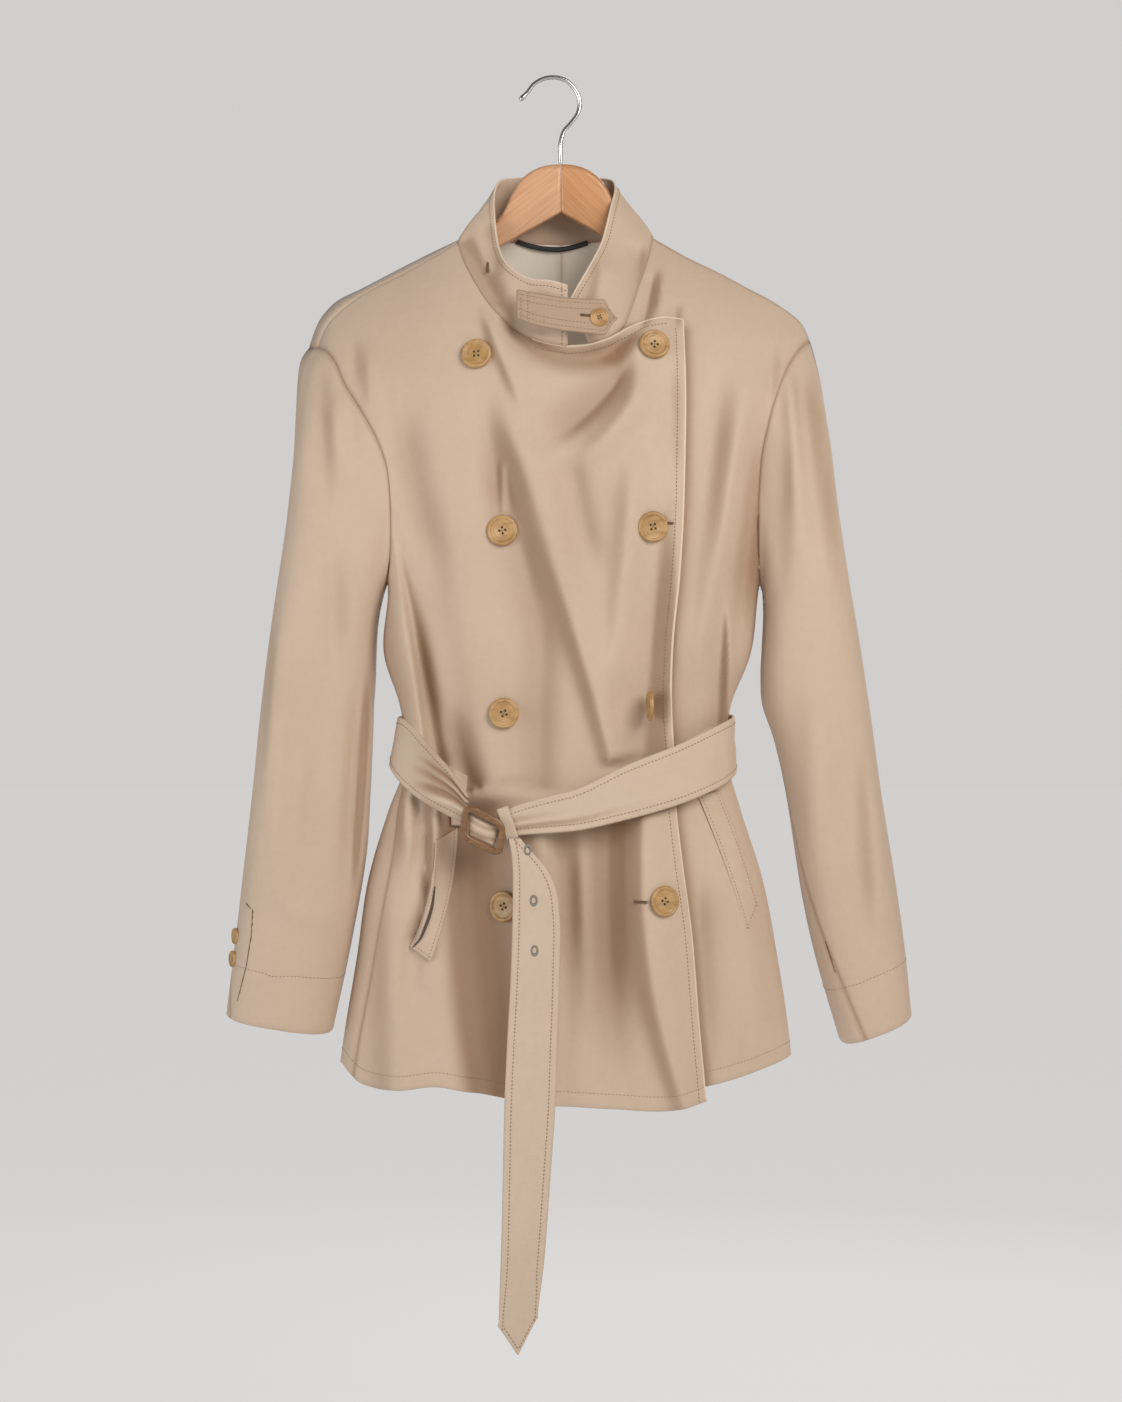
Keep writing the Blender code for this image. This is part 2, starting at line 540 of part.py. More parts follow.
def spun(name, profile, sides, look, centre, normal):
    """A turned piece: a profile of (radius, height) points round an axis, with closed ends."""
    normal = Vector(normal).normalized()
    across = normal.orthogonal().normalized()
    other = normal.cross(across)
    points = []
    for radius, height in profile:
        for k in range(sides):
            angle = 2 * pi * k / sides
            outward = across * cos(angle) + other * sin(angle)
            points.append(Vector(centre) + normal * height + outward * radius)
    faces = []
    for i in range(len(profile) - 1):
        for k in range(sides):
            a, b = i * sides + k, i * sides + (k + 1) % sides
            faces.append((b, a, a + sides, b + sides))
    faces.append(tuple(range(sides)))
    last = (len(profile) - 1) * sides
    faces.append(tuple(last + k for k in reversed(range(sides))))
    return add_mesh(name, points, faces, look)


def button_profile(diameter, thickness):
    """Half section of a button: flat back, rounded rim and a dished face."""
    radius = diameter / 2
    return [(radius * 0.86, 0), (radius, thickness * 0.35), (radius, thickness * 0.7),
            (radius * 0.92, thickness), (radius * 0.74, thickness * 0.75)]


def tube(name, centre_line, radius, sides, look, flat=1.0):
    """A round or flattened bar along a line of points, with closed ends."""
    line = np.asarray(centre_line, float)
    ahead = unit(np.gradient(line, axis=0))
    depth = np.tile([0.0, 1.0, 0.0], (len(line), 1))
    beside = unit(np.cross(ahead, depth))
    depth = np.cross(beside, ahead)
    angle = np.linspace(0, 2 * pi, sides, endpoint=False)[None, :, None]
    grid = line[:, None] + radius * (np.cos(angle) * beside[:, None] + flat * np.sin(angle) * depth[:, None])
    faces = []
    for r in range(len(line) - 1):
        for k in range(sides):
            a, b = r * sides + k, r * sides + (k + 1) % sides
            faces.append((a, b, b + sides, a + sides))
    faces.append(tuple(reversed(range(sides))))
    faces.append(tuple((len(line) - 1) * sides + k for k in range(sides)))
    return add_mesh(name, grid, faces, look)


def frame_loop(name, line, width, depth, sides, look):
    """A closed bar along a loop of points that faces the viewer."""
    ahead = unit(np.roll(line, -1, axis=0) - np.roll(line, 1, axis=0))
    forward = np.tile([0.0, 1.0, 0.0], (len(line), 1))
    beside = unit(np.cross(ahead, forward))
    forward = np.cross(beside, ahead)
    angle = np.linspace(0, 2 * pi, sides, endpoint=False)[None, :, None]
    grid = (line[:, None] + width / 2 * np.cos(angle) * beside[:, None]
            + depth / 2 * np.sin(angle) * forward[:, None])
    count = len(line)
    faces = []
    for r in range(count):
        for k in range(sides):
            a, b = r * sides + k, r * sides + (k + 1) % sides
            c, d = (r + 1) % count * sides + (k + 1) % sides, (r + 1) % count * sides + k
            faces.append((a, b, c, d))
    return add_mesh(name, grid, faces, look)


# ---- pieces that lie on the coat ---------------------------------------------------------------
class Skin:
    """Finds the outside of finished pieces, so that others can be laid on it."""

    def __init__(self, *things):
        points, faces = [], []
        for thing in things:
            start = len(points)
            points += [v.co / MM for v in thing.data.vertices]
            faces += [[start + i for i in polygon.vertices] for polygon in thing.data.polygons]
        self.points = points + [sum((points[i] for i in face), Vector()) / len(face) for face in faces]
        self.tree = BVHTree.FromPolygons(points, faces)

    def depth(self, x, drop, start=-400.0):
        """Depth of the first wall met behind the start, or None."""
        hit = self.tree.ray_cast(Vector((x, start, -drop)), Vector((0, 1, 0)))[0]
        return None if hit is None else hit.y

    def nearest(self, x, drop, spread, start=-400.0):
        """Smallest depth found at the place and around it."""
        steps = (-spread, 0, spread)
        around = [self.depth(x + a, drop + b, start) for a in steps for b in steps]
        return min(d for d in around if d is not None)

    def patch(self, x, drop, gap):
        """Grid of points at (x, drop), laid the gap in front of the skin."""
        depth = np.array([self.nearest(a, b, 3.0) for a, b in zip(x.ravel(), drop.ravel())])
        return np.stack([x, depth.reshape(x.shape) - gap, drop], axis=-1)

    def seat(self, x, drop, radius):
        """Place and outward direction of a disc that rests on the skin."""
        near = radius * 0.8
        slope_x = (self.depth(x + near, drop) - self.depth(x - near, drop)) / (2 * near)
        slope_d = (self.depth(x, drop + near) - self.depth(x, drop - near)) / (2 * near)
        normal = Vector((slope_x, -1.0, slope_d)).normalized()
        middle = Vector((x, self.depth(x, drop), drop))
        highest = 0.0
        for ring in (0.35, 0.7, 1.0):
            for k in range(16):
                a = x + radius * ring * cos(pi * k / 8)
                b = drop + radius * ring * sin(pi * k / 8)
                highest = max(highest, (Vector((a, self.depth(a, b), b)) - middle).dot(normal))
        return middle + normal * (highest + REST_GAP), normal


def settle(thing, skin, ahead=(0.0, 1.0, 0.0)):
    """Moves a finished piece straight ahead until it rests on the skin."""
    ahead = Vector(ahead)
    piece = Skin(thing)
    found = [skin.tree.ray_cast(point, ahead) for point in piece.points]
    found += [piece.tree.ray_cast(point, -ahead) for point in skin.points]
    free = min(distance for place, _, _, distance in found if place is not None)
    for v in thing.data.vertices:
        v.co += ahead * (free - REST_GAP) * MM
    return thing


BUTTON_SIDES = 16
FRONT_BUTTON = (25.5, 3.6)
TAB_BUTTON = (15.5, 3.0)
CUFF_BUTTON = (14.0, 3.0)
FRONT_BUTTONS = {
    "button_right_1": (-63.2, 241.0), "button_right_2": (-41.8, 387.5),
    "button_right_3": (-40.9, 538.2), "button_right_4": (-39.7, 697.5),
    "button_left_1": (84.1, 232.6), "button_left_2": (82.1, 384.4), "button_left_4": (91.5, 692.8),
}
TAB_BUTTON_AT = (38.5, 211.2)
TURNED_BUTTON = (81.7, 531.6)
TURNED_BY = radians(83)

# Corners of each pocket welt: top inner, top outer, bottom outer, bottom inner, as (x, drop).
WELTS = {
    "right": [(-79.5, 634), (-96.5, 644), (-117.5, 731), (-101, 742.5)],
    "left": [(121, 607), (138, 603), (171, 698), (161.5, 720)],
}
WELT_BOW = {"right": 5.0, "left": 2.0}
WELT_SLACK = 0.3       # room left under a welt and under a belt loop
BELT_LOOPS = {
    "right": [(-86.5, 581.5), (-71.3, 590.5), (-74, 631), (-84, 631)],
    "left": [(110, 561), (133, 549), (133, 597), (119, 599)],
}
LOOP_SLACK = 0.9

TAB = table("x upper lower y", [
    (-29, 188.5, 211, -71.5), (-14, 192, 217, -74), (6, 195.5, 221, -75), (28, 197, 223.5, -75),
    (43, 197.3, 225, -74), (51.4, 209.8, 211.2, -73),
])

BELT_OVAL = dict(middle_x=8.5, middle_y=-28.5, half=146, deep=67, square=2.4)
BELT_LEAN = table("turn lean", [(20, 0), (90, 1.8), (150, 0), (220, 0), (275, 7), (300, 5), (318, 0)])
BELT = table("turn upper lower", [
    (-18, 621, 640), (-10, 613, 637), (0, 604, 634.5), (16, 582.5, 625), (36, 565.5, 613), (56, 551.5, 601),
    (90, 541, 586), (135, 543, 585), (180, 545, 586), (225, 544, 585), (270, 542, 580), (296, 547, 597),
    (308, 559, 608), (316, 569.5, 615), (326, 589, 624), (331, 604.5, 629),
])
TAIL = table("drop left right y", [
    (641, -35.5, -27, -98.8), (650, -33.4, -19, -99.3), (664, -31.9, -6.5, -100.5), (680, -31.6, 1.5, -101),
    (700, -31.8, 4.6, -100.5), (752, -33.3, 4.8, -99), (814, -36.6, 2.7, -97), (860, -38.6, 1.1, -95),
    (915, -39.8, -2.6, -93), (987, -41.6, -7.9, -91), (1034, -44, -12.9, -90),
])
TAIL_POINT = 27.0
TAIL_SLANT = 7.5       # the tail's left corner hangs this much lower than its right one
TAIL_CUT = 960.0       # drop from which the rows turn into the point
TAIL_ROWS = 17
BUCKLE_CORNERS = [(-71, -100, 614), (-40.5, -101.5, 629), (-43.5, -99, 653.5), (-74, -97, 639)]
BUCKLE_BAR = (5.4, 4.4)
BUCKLE_ROUNDING = 0.42
FOLD_DEPTH = -97.0
FOLD_BULGE = 4.5
FOLD_REACH = (0.72, 0.66)  # how much of the window's half length and half height it fills
FOLD_WAIST = 0.12
KEEPER = dict(x_top=-41.5, x_bottom=-32.5, half_width=4.2, turn=-15.2, slack=2.6, overhang=2.8,
              tilt=0.35, rounding=0.4)

HOOK_LINE = [(-28.1, 0, 17.4), (-22.5, 0, 12.0), (-15.3, 0, 3.3), (-7.6, 0, -0.9), (0, 0, -2.0),
             (10.2, 0, 0.2), (18.7, 0, 8.2), (22.9, 0, 19.1), (21.2, 0, 28.5), (15.3, 0, 37),
             (9.6, 0, 43.6), (6.9, 0, 52), (6.8, 0, 71.2)]
WOOD = table("x top bottom", [
    (6.8, 71.6, 113.2), (-5, 72.6, 119.6), (-14, 75.4, 124.8), (-22, 80.2, 129.2), (-29, 87.4, 133.1),
    (-35, 97.6, 136.6), (-40.5, 109, 139.7), (-50, 121.5, 145.2),
    (-63.6, 136.5, 155), (-80.6, 150.5, 167.5), (-123.7, 172.5, 191), (-158, 191.5, 208.5), (-163, 196, 211),
])
HANG_LOOP = [(-31, 134.5), (-22, 137.5), (-8, 140.5), (8, 141), (20, 138.5), (29.5, 135.5)]
HANG_LOOP_SAG = 1.0    # how far its middle stands off the back
HANG_LOOP_RADIUS = 2.2
HANG_LOOP_FLAT = 0.45


def quad_patch(corners, rows, columns, bow=0.0):
    """Even (x, drop) grid between four corners, its long sides bowed sideways."""
    a, b, c, d = (np.array(p, float) for p in corners)
    v = np.linspace(0, 1, rows)[:, None, None]
    u = np.linspace(0, 1, columns)[None, :, None]
    grid = (a * (1 - u) + b * u) * (1 - v) + (d * (1 - u) + c * u) * v
    return grid[..., 0] + bow * 4 * v[..., 0] * (1 - v[..., 0]), grid[..., 1]


def belt_point(turn, out=0.0):
    o = BELT_OVAL
    x = o["middle_x"] + (o["half"] + out) * np.sign(np.sin(turn)) * np.abs(np.sin(turn)) ** (2 / o["square"])
    y = o["middle_y"] - (o["deep"] + out) * np.sign(np.cos(turn)) * np.abs(np.cos(turn)) ** (2 / o["square"])
    return x, y


def belt_grid():
    turns = np.linspace(BELT["turn"][0], BELT["turn"][-1], 800)
    x, y = belt_point(np.radians(turns))
    run = np.r_[0.0, np.cumsum(np.hypot(np.diff(x), np.diff(y)))]
    turn = np.interp(np.linspace(0, run[-1], COLUMNS_BELT), run, turns)[None, :]
    level = np.linspace(1, 0, BELT_ROWS)[:, None]
    lean = smooth(BELT_LEAN["turn"], BELT_LEAN["lean"], turn)
    x, y = belt_point(np.radians(turn), -lean * (1 - level))
    upper = smooth(BELT["turn"], BELT["upper"], turn)
    lower = smooth(BELT["turn"], BELT["lower"], turn)
    return np.stack([x, y, upper + (lower - upper) * level], axis=-1)


def tail_grid():
    drop = np.linspace(TAIL["drop"][0] ** 0.5, TAIL["drop"][-1] ** 0.5, TAIL_ROWS)[:, None] ** 2
    across = np.linspace(0, 1, 5)[None, :]
    left, right, y = (smooth(TAIL["drop"], TAIL[name], drop) for name in ("left", "right", "y"))
    x = left + (right - left) * across
    point = TAIL_POINT * (1 - np.abs(2 * across - 1)) + TAIL_SLANT * (1 - across)
    low = step((drop - TAIL_CUT) / (TAIL["drop"][-1] - TAIL_CUT))
    grid = np.stack([x, y + 0 * across, drop + point * low ** 2], axis=-1)
    return grid[::-1]


def tab_grid():
    x = path(np.stack([TAB["x"], 0 * TAB["x"]], axis=-1), 15)[:, 0][None, :]
    level = np.linspace(1, 0, 4)[:, None]
    upper, lower = (np.interp(x, TAB["x"], TAB[name]) for name in ("upper", "lower"))
    y = smooth(TAB["x"], TAB["y"], x)
    drop = upper + (lower - upper) * level
    return np.stack([x + 0 * level, y + 0 * level, drop], axis=-1)


def buckle_line(count=28):
    """Rounded four-sided loop through the middle of the buckle's bar."""
    corners = np.array(BUCKLE_CORNERS, float)
    middle = corners.mean(axis=0)
    along = (corners[1] - corners[0] + corners[2] - corners[3]) / 4
    down = (corners[3] - corners[0] + corners[2] - corners[1]) / 4
    angle = np.linspace(0, 2 * pi, count, endpoint=False)[:, None]
    u = np.sign(np.cos(angle)) * np.abs(np.cos(angle)) ** BUCKLE_ROUNDING
    v = np.sign(np.sin(angle)) * np.abs(np.sin(angle)) ** BUCKLE_ROUNDING
    return middle + along * u + down * v


def fold_patch():
    """Doubled belt cloth bulging through the buckle's window."""
    corners = np.array(BUCKLE_CORNERS, float)
    middle = corners.mean(axis=0)
    along = (corners[1] - corners[0] + corners[2] - corners[3]) / 4
    down = (corners[3] - corners[0] + corners[2] - corners[1]) / 4
    wide, high = FOLD_REACH
    u = np.linspace(-wide, wide, 8)[None, :, None]
    v = np.linspace(high, -high, 6)[:, None, None]
    grid = middle + along * u * (1 - FOLD_WAIST * v * v) + down * v
    bulge = (1 - (u / wide) ** 2) * (1 - (v / high) ** 2)
    grid[..., 1] = FOLD_DEPTH - FOLD_BULGE * bulge[..., 0]
    return grid


def keeper_grid():
    """Flat tube round the gathered belt just beside the buckle."""
    k = KEEPER
    angle = np.linspace(0, 2 * pi, 16, endpoint=False)[None, :]
    along = np.linspace(-1, 1, 3)[:, None]
    up = np.sign(np.cos(angle)) * np.abs(np.cos(angle)) ** k["rounding"]
    out = np.sign(np.sin(angle)) * np.abs(np.sin(angle)) ** k["rounding"]
    _, depth = belt_point(radians(k["turn"]))
    upper, lower = (smooth(BELT["turn"], BELT[name], k["turn"]) for name in ("upper", "lower"))
    x = (k["x_top"] + k["x_bottom"]) / 2 + k["half_width"] * along - (k["x_bottom"] - k["x_top"]) / 2 * up
    y = depth + BELT_CLOTH / 2 - (BELT_CLOTH / 2 + k["slack"]) * out
    drop = (upper + lower) / 2 - ((lower - upper) / 2 + k["overhang"]) * up
    drop = drop - k["tilt"] * k["half_width"] * along
    return np.stack([x + 0 * up, y + 0 * along, drop + 0 * along], axis=-1)


def wood_half(name, mirrored, look):
    """Half of the hanger, from the mitre out: a board with a rounded top, cut to its arc."""
    stations = path(np.stack([WOOD["x"], WOOD["top"]], axis=-1), 22)[:, 0]
    top = smooth(-WOOD["x"], WOOD["top"], -stations)
    bottom = smooth(-WOOD["x"], WOOD["bottom"], -stations)
    stations[0] -= SEAM_GAP / 2
    radius = WOOD_THICKNESS / 2
    arc = np.linspace(-pi / 2, pi / 2, 9)
    side = radius * np.sin(arc)
    lift = radius * (1 - np.cos(arc))
    rings = []
    for x, a, b in zip(stations, top, bottom):
        upper = [(x, y, a + h) for y, h in zip(side, lift)]
        lower = [(x, radius * 0.99, b - 1.6), (x, radius * 0.72, b),
                 (x, -radius * 0.72, b), (x, -radius * 0.99, b - 1.6)]
        rings.append(upper + lower)
    points = np.array(rings).reshape(-1, 3)
    if mirrored:
        points[:, 0] = 2 * CENTRE_X - points[:, 0]
    n = len(rings[0])
    faces = []
    for r in range(len(rings) - 1):
        for k in range(n):
            a, b = r * n + k, r * n + (k + 1) % n
            faces.append((a, b, b + n, a + n))
    faces.append(tuple(reversed(range(n))))
    faces.append(tuple((len(rings) - 1) * n + k for k in range(n)))
    if mirrored:
        faces = [tuple(reversed(f)) for f in faces]
    return add_mesh(name, points, faces, look)


# ---- assembly --------------------------------------------------------------------------------
def shared(one, other):
    """One direction into the cloth for two pieces that run on into each other."""
    both = unit(one + other)
    return both, both


def shared_unless_folded(one, other):
    """As above where they run on, and each its own where they are folded back to back."""
    together = step(1.3 * np.sum(one * other, axis=-1, keepdims=True) + 0.3)
    return unit(one + together * other), unit(other + together * one)


# For each panel: the column that ends on its armhole, and its top row's columns in the shoulder seam.
ARM_COLUMN = {"front_right": 0, "front_left": -1, "back_right": -1, "back_left": 0}
BESIDE_ARM = {"front_right": 1, "front_left": -2, "back_right": -2, "back_left": 1}
SHOULDER_COLUMNS = {
    "front_right": slice(0, COLUMNS_SHOULDER + 1), "back_left": slice(0, COLUMNS_SHOULDER + 1),
    "front_left": slice(-COLUMNS_SHOULDER - 1, None), "back_right": slice(-COLUMNS_SHOULDER - 1, None),
}
SEWN_SIDES = {
    "front_right": dict(start=SEAM_GAP / 2), "front_left": dict(end=SEAM_GAP / 2),
    "back_right": dict(start=SEAM_GAP / 2, end=SEAM_GAP / 2),
    "back_left": dict(start=SEAM_GAP / 2, end=SEAM_GAP / 2),
}


def armhole_loop(grids, side):
    """The closed armhole seam from the shoulder, down the front, round the underarm and up the back."""
    edges = []
    for name in ("front_" + side, "back_" + side):
        edge, beside = ARM_COLUMN[name], BESIDE_ARM[name]
        line = grids[name][ROWS_SKIRT:, edge]
        edges.append(line + unit(line - grids[name][ROWS_SKIRT:, beside]) * ARMHOLE_GAP)
    front, back = edges
    return np.concatenate([front[::-1], back[1:-1]])


def neckline(grids):
    """Seam of the collar, from the right front end round the back to the left front end."""
    front = slice(COLUMNS_SHOULDER, COLUMNS_SHOULDER + COLUMNS_NECK_FRONT + 1)
    under = slice(COLUMNS_UNDER_LAP, COLUMNS_UNDER_LAP + COLUMNS_NECK_FRONT + 1)
    return joined(
        grids["front_right"][-1, front][::-1],
        grids["back_right"][-1, :COLUMNS_NECK_BACK + 1][::-1],
        grids["back_left"][-1, -COLUMNS_NECK_BACK - 1:][::-1],
        grids["front_left"][-1, under][::-1],
    )


def join_directions(grids, inward, sleeves, sleeve_inward):
    """Gives neighbouring pieces one direction into the cloth along each seam."""
    low = slice(0, ROWS_SKIRT + 1)
    chest = slice(ROWS_SKIRT, None)
    for side in ("right", "left"):
        front, back = "front_" + side, "back_" + side
        f, b = ARM_COLUMN[front], ARM_COLUMN[back]
        both = shared(inward[front][low, f], inward[back][low, b])
        inward[front][low, f], inward[back][low, b] = both
        in_front, in_back = SHOULDER_COLUMNS[front], SHOULDER_COLUMNS[back]
        both = shared(inward[front][-1, in_front], inward[back][-1, in_back][::-1])
        inward[front][-1, in_front], inward[back][-1, in_back] = both[0], both[1][::-1]
        loop = np.concatenate([inward[front][chest, f][::-1], inward[back][chest, b][1:-1]])
        arm = np.roll(sleeve_inward[side][0], -BACK_SEAM_COLUMNS, axis=0)
        loop, arm = shared_unless_folded(loop, arm)
        arm[0] = loop[0]
        sleeve_inward[side][0] = np.roll(arm, BACK_SEAM_COLUMNS, axis=0)
        inward[front][chest, f] = loop[:ROWS_CHEST + 1][::-1]
        inward[back][ROWS_SKIRT + 1:-1, b] = loop[ROWS_CHEST + 1:]
        inward[back][-1, b] = loop[0]
    middle = shared(inward["back_right"][:, 0], inward["back_left"][:, -1])
    inward["back_right"][:, 0], inward["back_left"][:, -1] = middle


def add_panels(grids, inward, look):
    things = {}
    for name, grid in grids.items():
        grid = trimmed(grid, top=SEAM_GAP / 2, **SEWN_SIDES[name])
        things[name] = shell(name, grid, CLOTH, look, inward[name])
    return things


def add_sleeves(sleeves, inward, look):
    things = {}
    for side, whole in sleeves.items():
        whole = np.concatenate([whole, whole[:, :1]], axis=1)
        into = np.concatenate([inward[side], inward[side][:, :1]], axis=1)
        split = TOP_SLEEVE_COLUMNS
        for name, columns in (("top_sleeve_", slice(0, split + 1)), ("under_sleeve_", slice(split, None))):
            grid = trimmed(whole[:, columns], bottom=SEAM_GAP / 2, start=SEAM_GAP / 2, end=SEAM_GAP / 2)
            part = into[:, columns]
            if side == "right":
                grid, part = grid[::-1], part[::-1]
            things[name + side] = shell(name + side, grid, CLOTH, look, part)
    return things


def add_buttons(panels, look):
    for name, (x, drop) in FRONT_BUTTONS.items():
        centre, normal = panels.seat(x, drop, FRONT_BUTTON[0] / 2)
        spun(name, button_profile(*FRONT_BUTTON), BUTTON_SIDES, look, centre, normal)
    x, drop = TURNED_BUTTON
    radius, thickness = FRONT_BUTTON[0] / 2, FRONT_BUTTON[1]
    normal = Vector((-sin(TURNED_BY), -cos(TURNED_BY), 0))
    reach = radius * sin(TURNED_BY) + thickness * cos(TURNED_BY)
    nearest = min(panels.depth(x + a, drop + b) for a in (-4, 0, 4) for b in (-12, -6, 0, 6, 12))
    turned = spun("button_left_3", button_profile(*FRONT_BUTTON), BUTTON_SIDES, look,
                  Vector((x, nearest - REST_GAP - reach, drop)), normal)
    settle(turned, panels)


def add_cuff_buttons(side, rows, sleeve, look):
    """Two buttons beside the cuff's vent, on the sleeve's outer back edge."""
    outside = -1 if side == "right" else 1
    for i, (along, angle) in enumerate(rows):
        x, y, drop, normal = sleeve_place(side, along, angle)
        centre = Vector((x, y, drop)) + normal * 2
        button = spun(f"cuff_button_{side}_{i + 1}", button_profile(*CUFF_BUTTON), BUTTON_SIDES, look,
                      centre, normal)
        settle(button, sleeve, -normal)


def sleeve_place(side, along, degrees):
    """A place on the sleeve and its outward direction."""
    rows = SLEEVES[side]
    ring = {name: float(smooth(np.arange(len(column)), column, along)) for name, column in rows.items()}
    angle = radians(degrees)
    power = 2 / SLEEVE_SQUARE
    across = np.sign(cos(angle)) * abs(cos(angle)) ** power
    deep = np.sign(sin(angle)) * abs(sin(angle)) ** power
    half = (ring["outer_x"] - ring["inner_x"]) / 2
    depth = (ring["back"] - ring["front"]) / 2
    x = (ring["outer_x"] + ring["inner_x"]) / 2 + half * across
    y = (ring["front"] + ring["back"]) / 2 - depth * deep
    drop = (ring["outer_drop"] + ring["inner_drop"]) / 2
    drop = drop + (ring["outer_drop"] - ring["inner_drop"]) / 2 * across
    normal = Vector((np.sign(half) * cos(angle) / abs(half), -sin(angle) / depth, 0)).normalized()
    return x, y, drop, normal


CUFF_BUTTONS = {"right": [(9.8, 20), (10.15, 21)], "left": [(9.95, -62), (10.3, -62)]}


def add_trims(things, cloth, horn, brown, tape):
    over = Skin(things["front_right"])
    front = Skin(things["front_right"], things["front_left"])
    neck = Skin(things["collar"], things["front_right"], things["front_left"])
    add_buttons(over, horn)
    for side, rows in CUFF_BUTTONS.items():
        sleeve = Skin(things["top_sleeve_" + side], things["under_sleeve_" + side])
        add_cuff_buttons(side, rows, sleeve, horn)

    for side, corners in WELTS.items():
        x, drop = quad_patch(corners, 16, 5, WELT_BOW[side])
        grid = front.patch(x, drop, REST_GAP + CLOTH + WELT_SLACK)
        if side == "right":
            grid = grid[::-1, ::-1]
        else:
            grid = grid[::-1]
        straight = np.tile([0.0, 1.0, 0.0], (*x.shape, 1))
        settle(shell("pocket_welt_" + side, grid, CLOTH, cloth, straight), front)

    for side, corners in BELT_LOOPS.items():
        x, drop = quad_patch(corners, 10, 3)
        grid = front.patch(x, drop, REST_GAP + CLOTH + LOOP_SLACK)[::-1]
        straight = np.tile([0.0, 1.0, 0.0], (*x.shape, 1))
        settle(shell("belt_loop_" + side, grid, CLOTH, cloth, straight), front)

    tab = tab_grid()
    throat = Skin(settle(shell("throat_tab", tab, 2 * CLOTH, cloth), neck))
    centre, normal = throat.seat(*TAB_BUTTON_AT, TAB_BUTTON[0] / 2)
    spun("tab_button", button_profile(*TAB_BUTTON), BUTTON_SIDES, horn, centre, normal)

    belt = shell("belt_round", belt_grid(), BELT_CLOTH, cloth)
    keeper = shell("belt_keeper", keeper_grid(), CLOTH, cloth, closed=True)
    shell("belt_tail", tail_grid(), BELT_CLOTH, cloth)
    settle(shell("belt_fold", fold_patch(), BELT_CLOTH, cloth), Skin(belt))
    settle(frame_loop("buckle", buckle_line(), *BUCKLE_BAR, 8, brown), Skin(belt, keeper))

    back = Skin(things["back_right"], things["back_left"], things["collar"])
    line = path(HANG_LOOP, 14)
    off = REST_GAP + HANG_LOOP_RADIUS * HANG_LOOP_FLAT + HANG_LOOP_SAG * np.sin(np.linspace(0, pi, len(line)))
    depth = np.array([back.nearest(x, drop, 2.0, 0.0) for x, drop in line])
    line = np.stack([line[:, 0], depth - off, line[:, 1]], axis=-1)
    tube("hang_loop", line, HANG_LOOP_RADIUS, 8, tape, flat=HANG_LOOP_FLAT)


def add_hanger(pale_wood, wood, steel):
    wood_half("hanger_wood_right", False, pale_wood)
    wood_half("hanger_wood_left", True, wood)
    line = path(HOOK_LINE, 36)
    tube("hook", line, WIRE_RADIUS, 8, steel)


def build():
    for thing in list(bpy.data.objects):
        bpy.data.objects.remove(thing)
    cloth = material("coat_cloth", (0.56, 0.40, 0.26), 0.55)
    horn = material("button_horn", (0.42, 0.26, 0.11), 0.3)
    brown = material("buckle_brown", (0.33, 0.17, 0.06), 0.35)
    tape = material("loop_tape", (0.01, 0.01, 0.012), 0.6)
    pale_wood = material("pale_wood", (0.62, 0.34, 0.17), 0.45)
    wood = material("wood", (0.55, 0.25, 0.10), 0.45)
    steel = material("hook_steel", (0.55, 0.55, 0.55), 0.25, 1.0)

    grids = {
        "front_right": front_right_grid(), "front_left": front_left_grid(),
        "back_right": back_right_grid(), "back_left": back_left_grid(),
    }
    loops = {side: armhole_loop(grids, side) for side in ("right", "left")}
    sleeves = {side: sleeve_grid(side, loop) for side, loop in loops.items()}
    inward = {name: inward_normals(grid) for name, grid in grids.items()}
    hand = {"right": -1.0, "left": 1.0}
    sleeve_inward = {side: hand[side] * inward_normals(grid, closed=True) for side, grid in sleeves.items()}
    join_directions(grids, inward, sleeves, sleeve_inward)
    things = add_panels(grids, inward, cloth)
    collar = trimmed(collar_grid(neckline(grids)), bottom=SEAM_GAP)
    things["collar"] = shell("collar", collar, CLOTH, cloth)
    things.update(add_sleeves(sleeves, sleeve_inward, cloth))
    add_trims(things, cloth, horn, brown, tape)
    add_hanger(pale_wood, wood, steel)


build()
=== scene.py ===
# %% [markdown]
# # Short trench coat on a wooden hanger
# The first reading of this object calls it a trench coat. What shows is a short, hip-length trench
# jacket: double-breasted, with a stand collar, a throat tab and no lapels, epaulettes, storm flap
# or sleeve straps. The third button of the left column stands on edge. Everything here follows
# what shows. The white tag in the neck and the wall's peg are left out.
# Sizes in the tables are millimetres. "Drop" is the distance below the hook's inside top, which is
# the origin. "Right" is the wearer's right, which is the viewer's left.

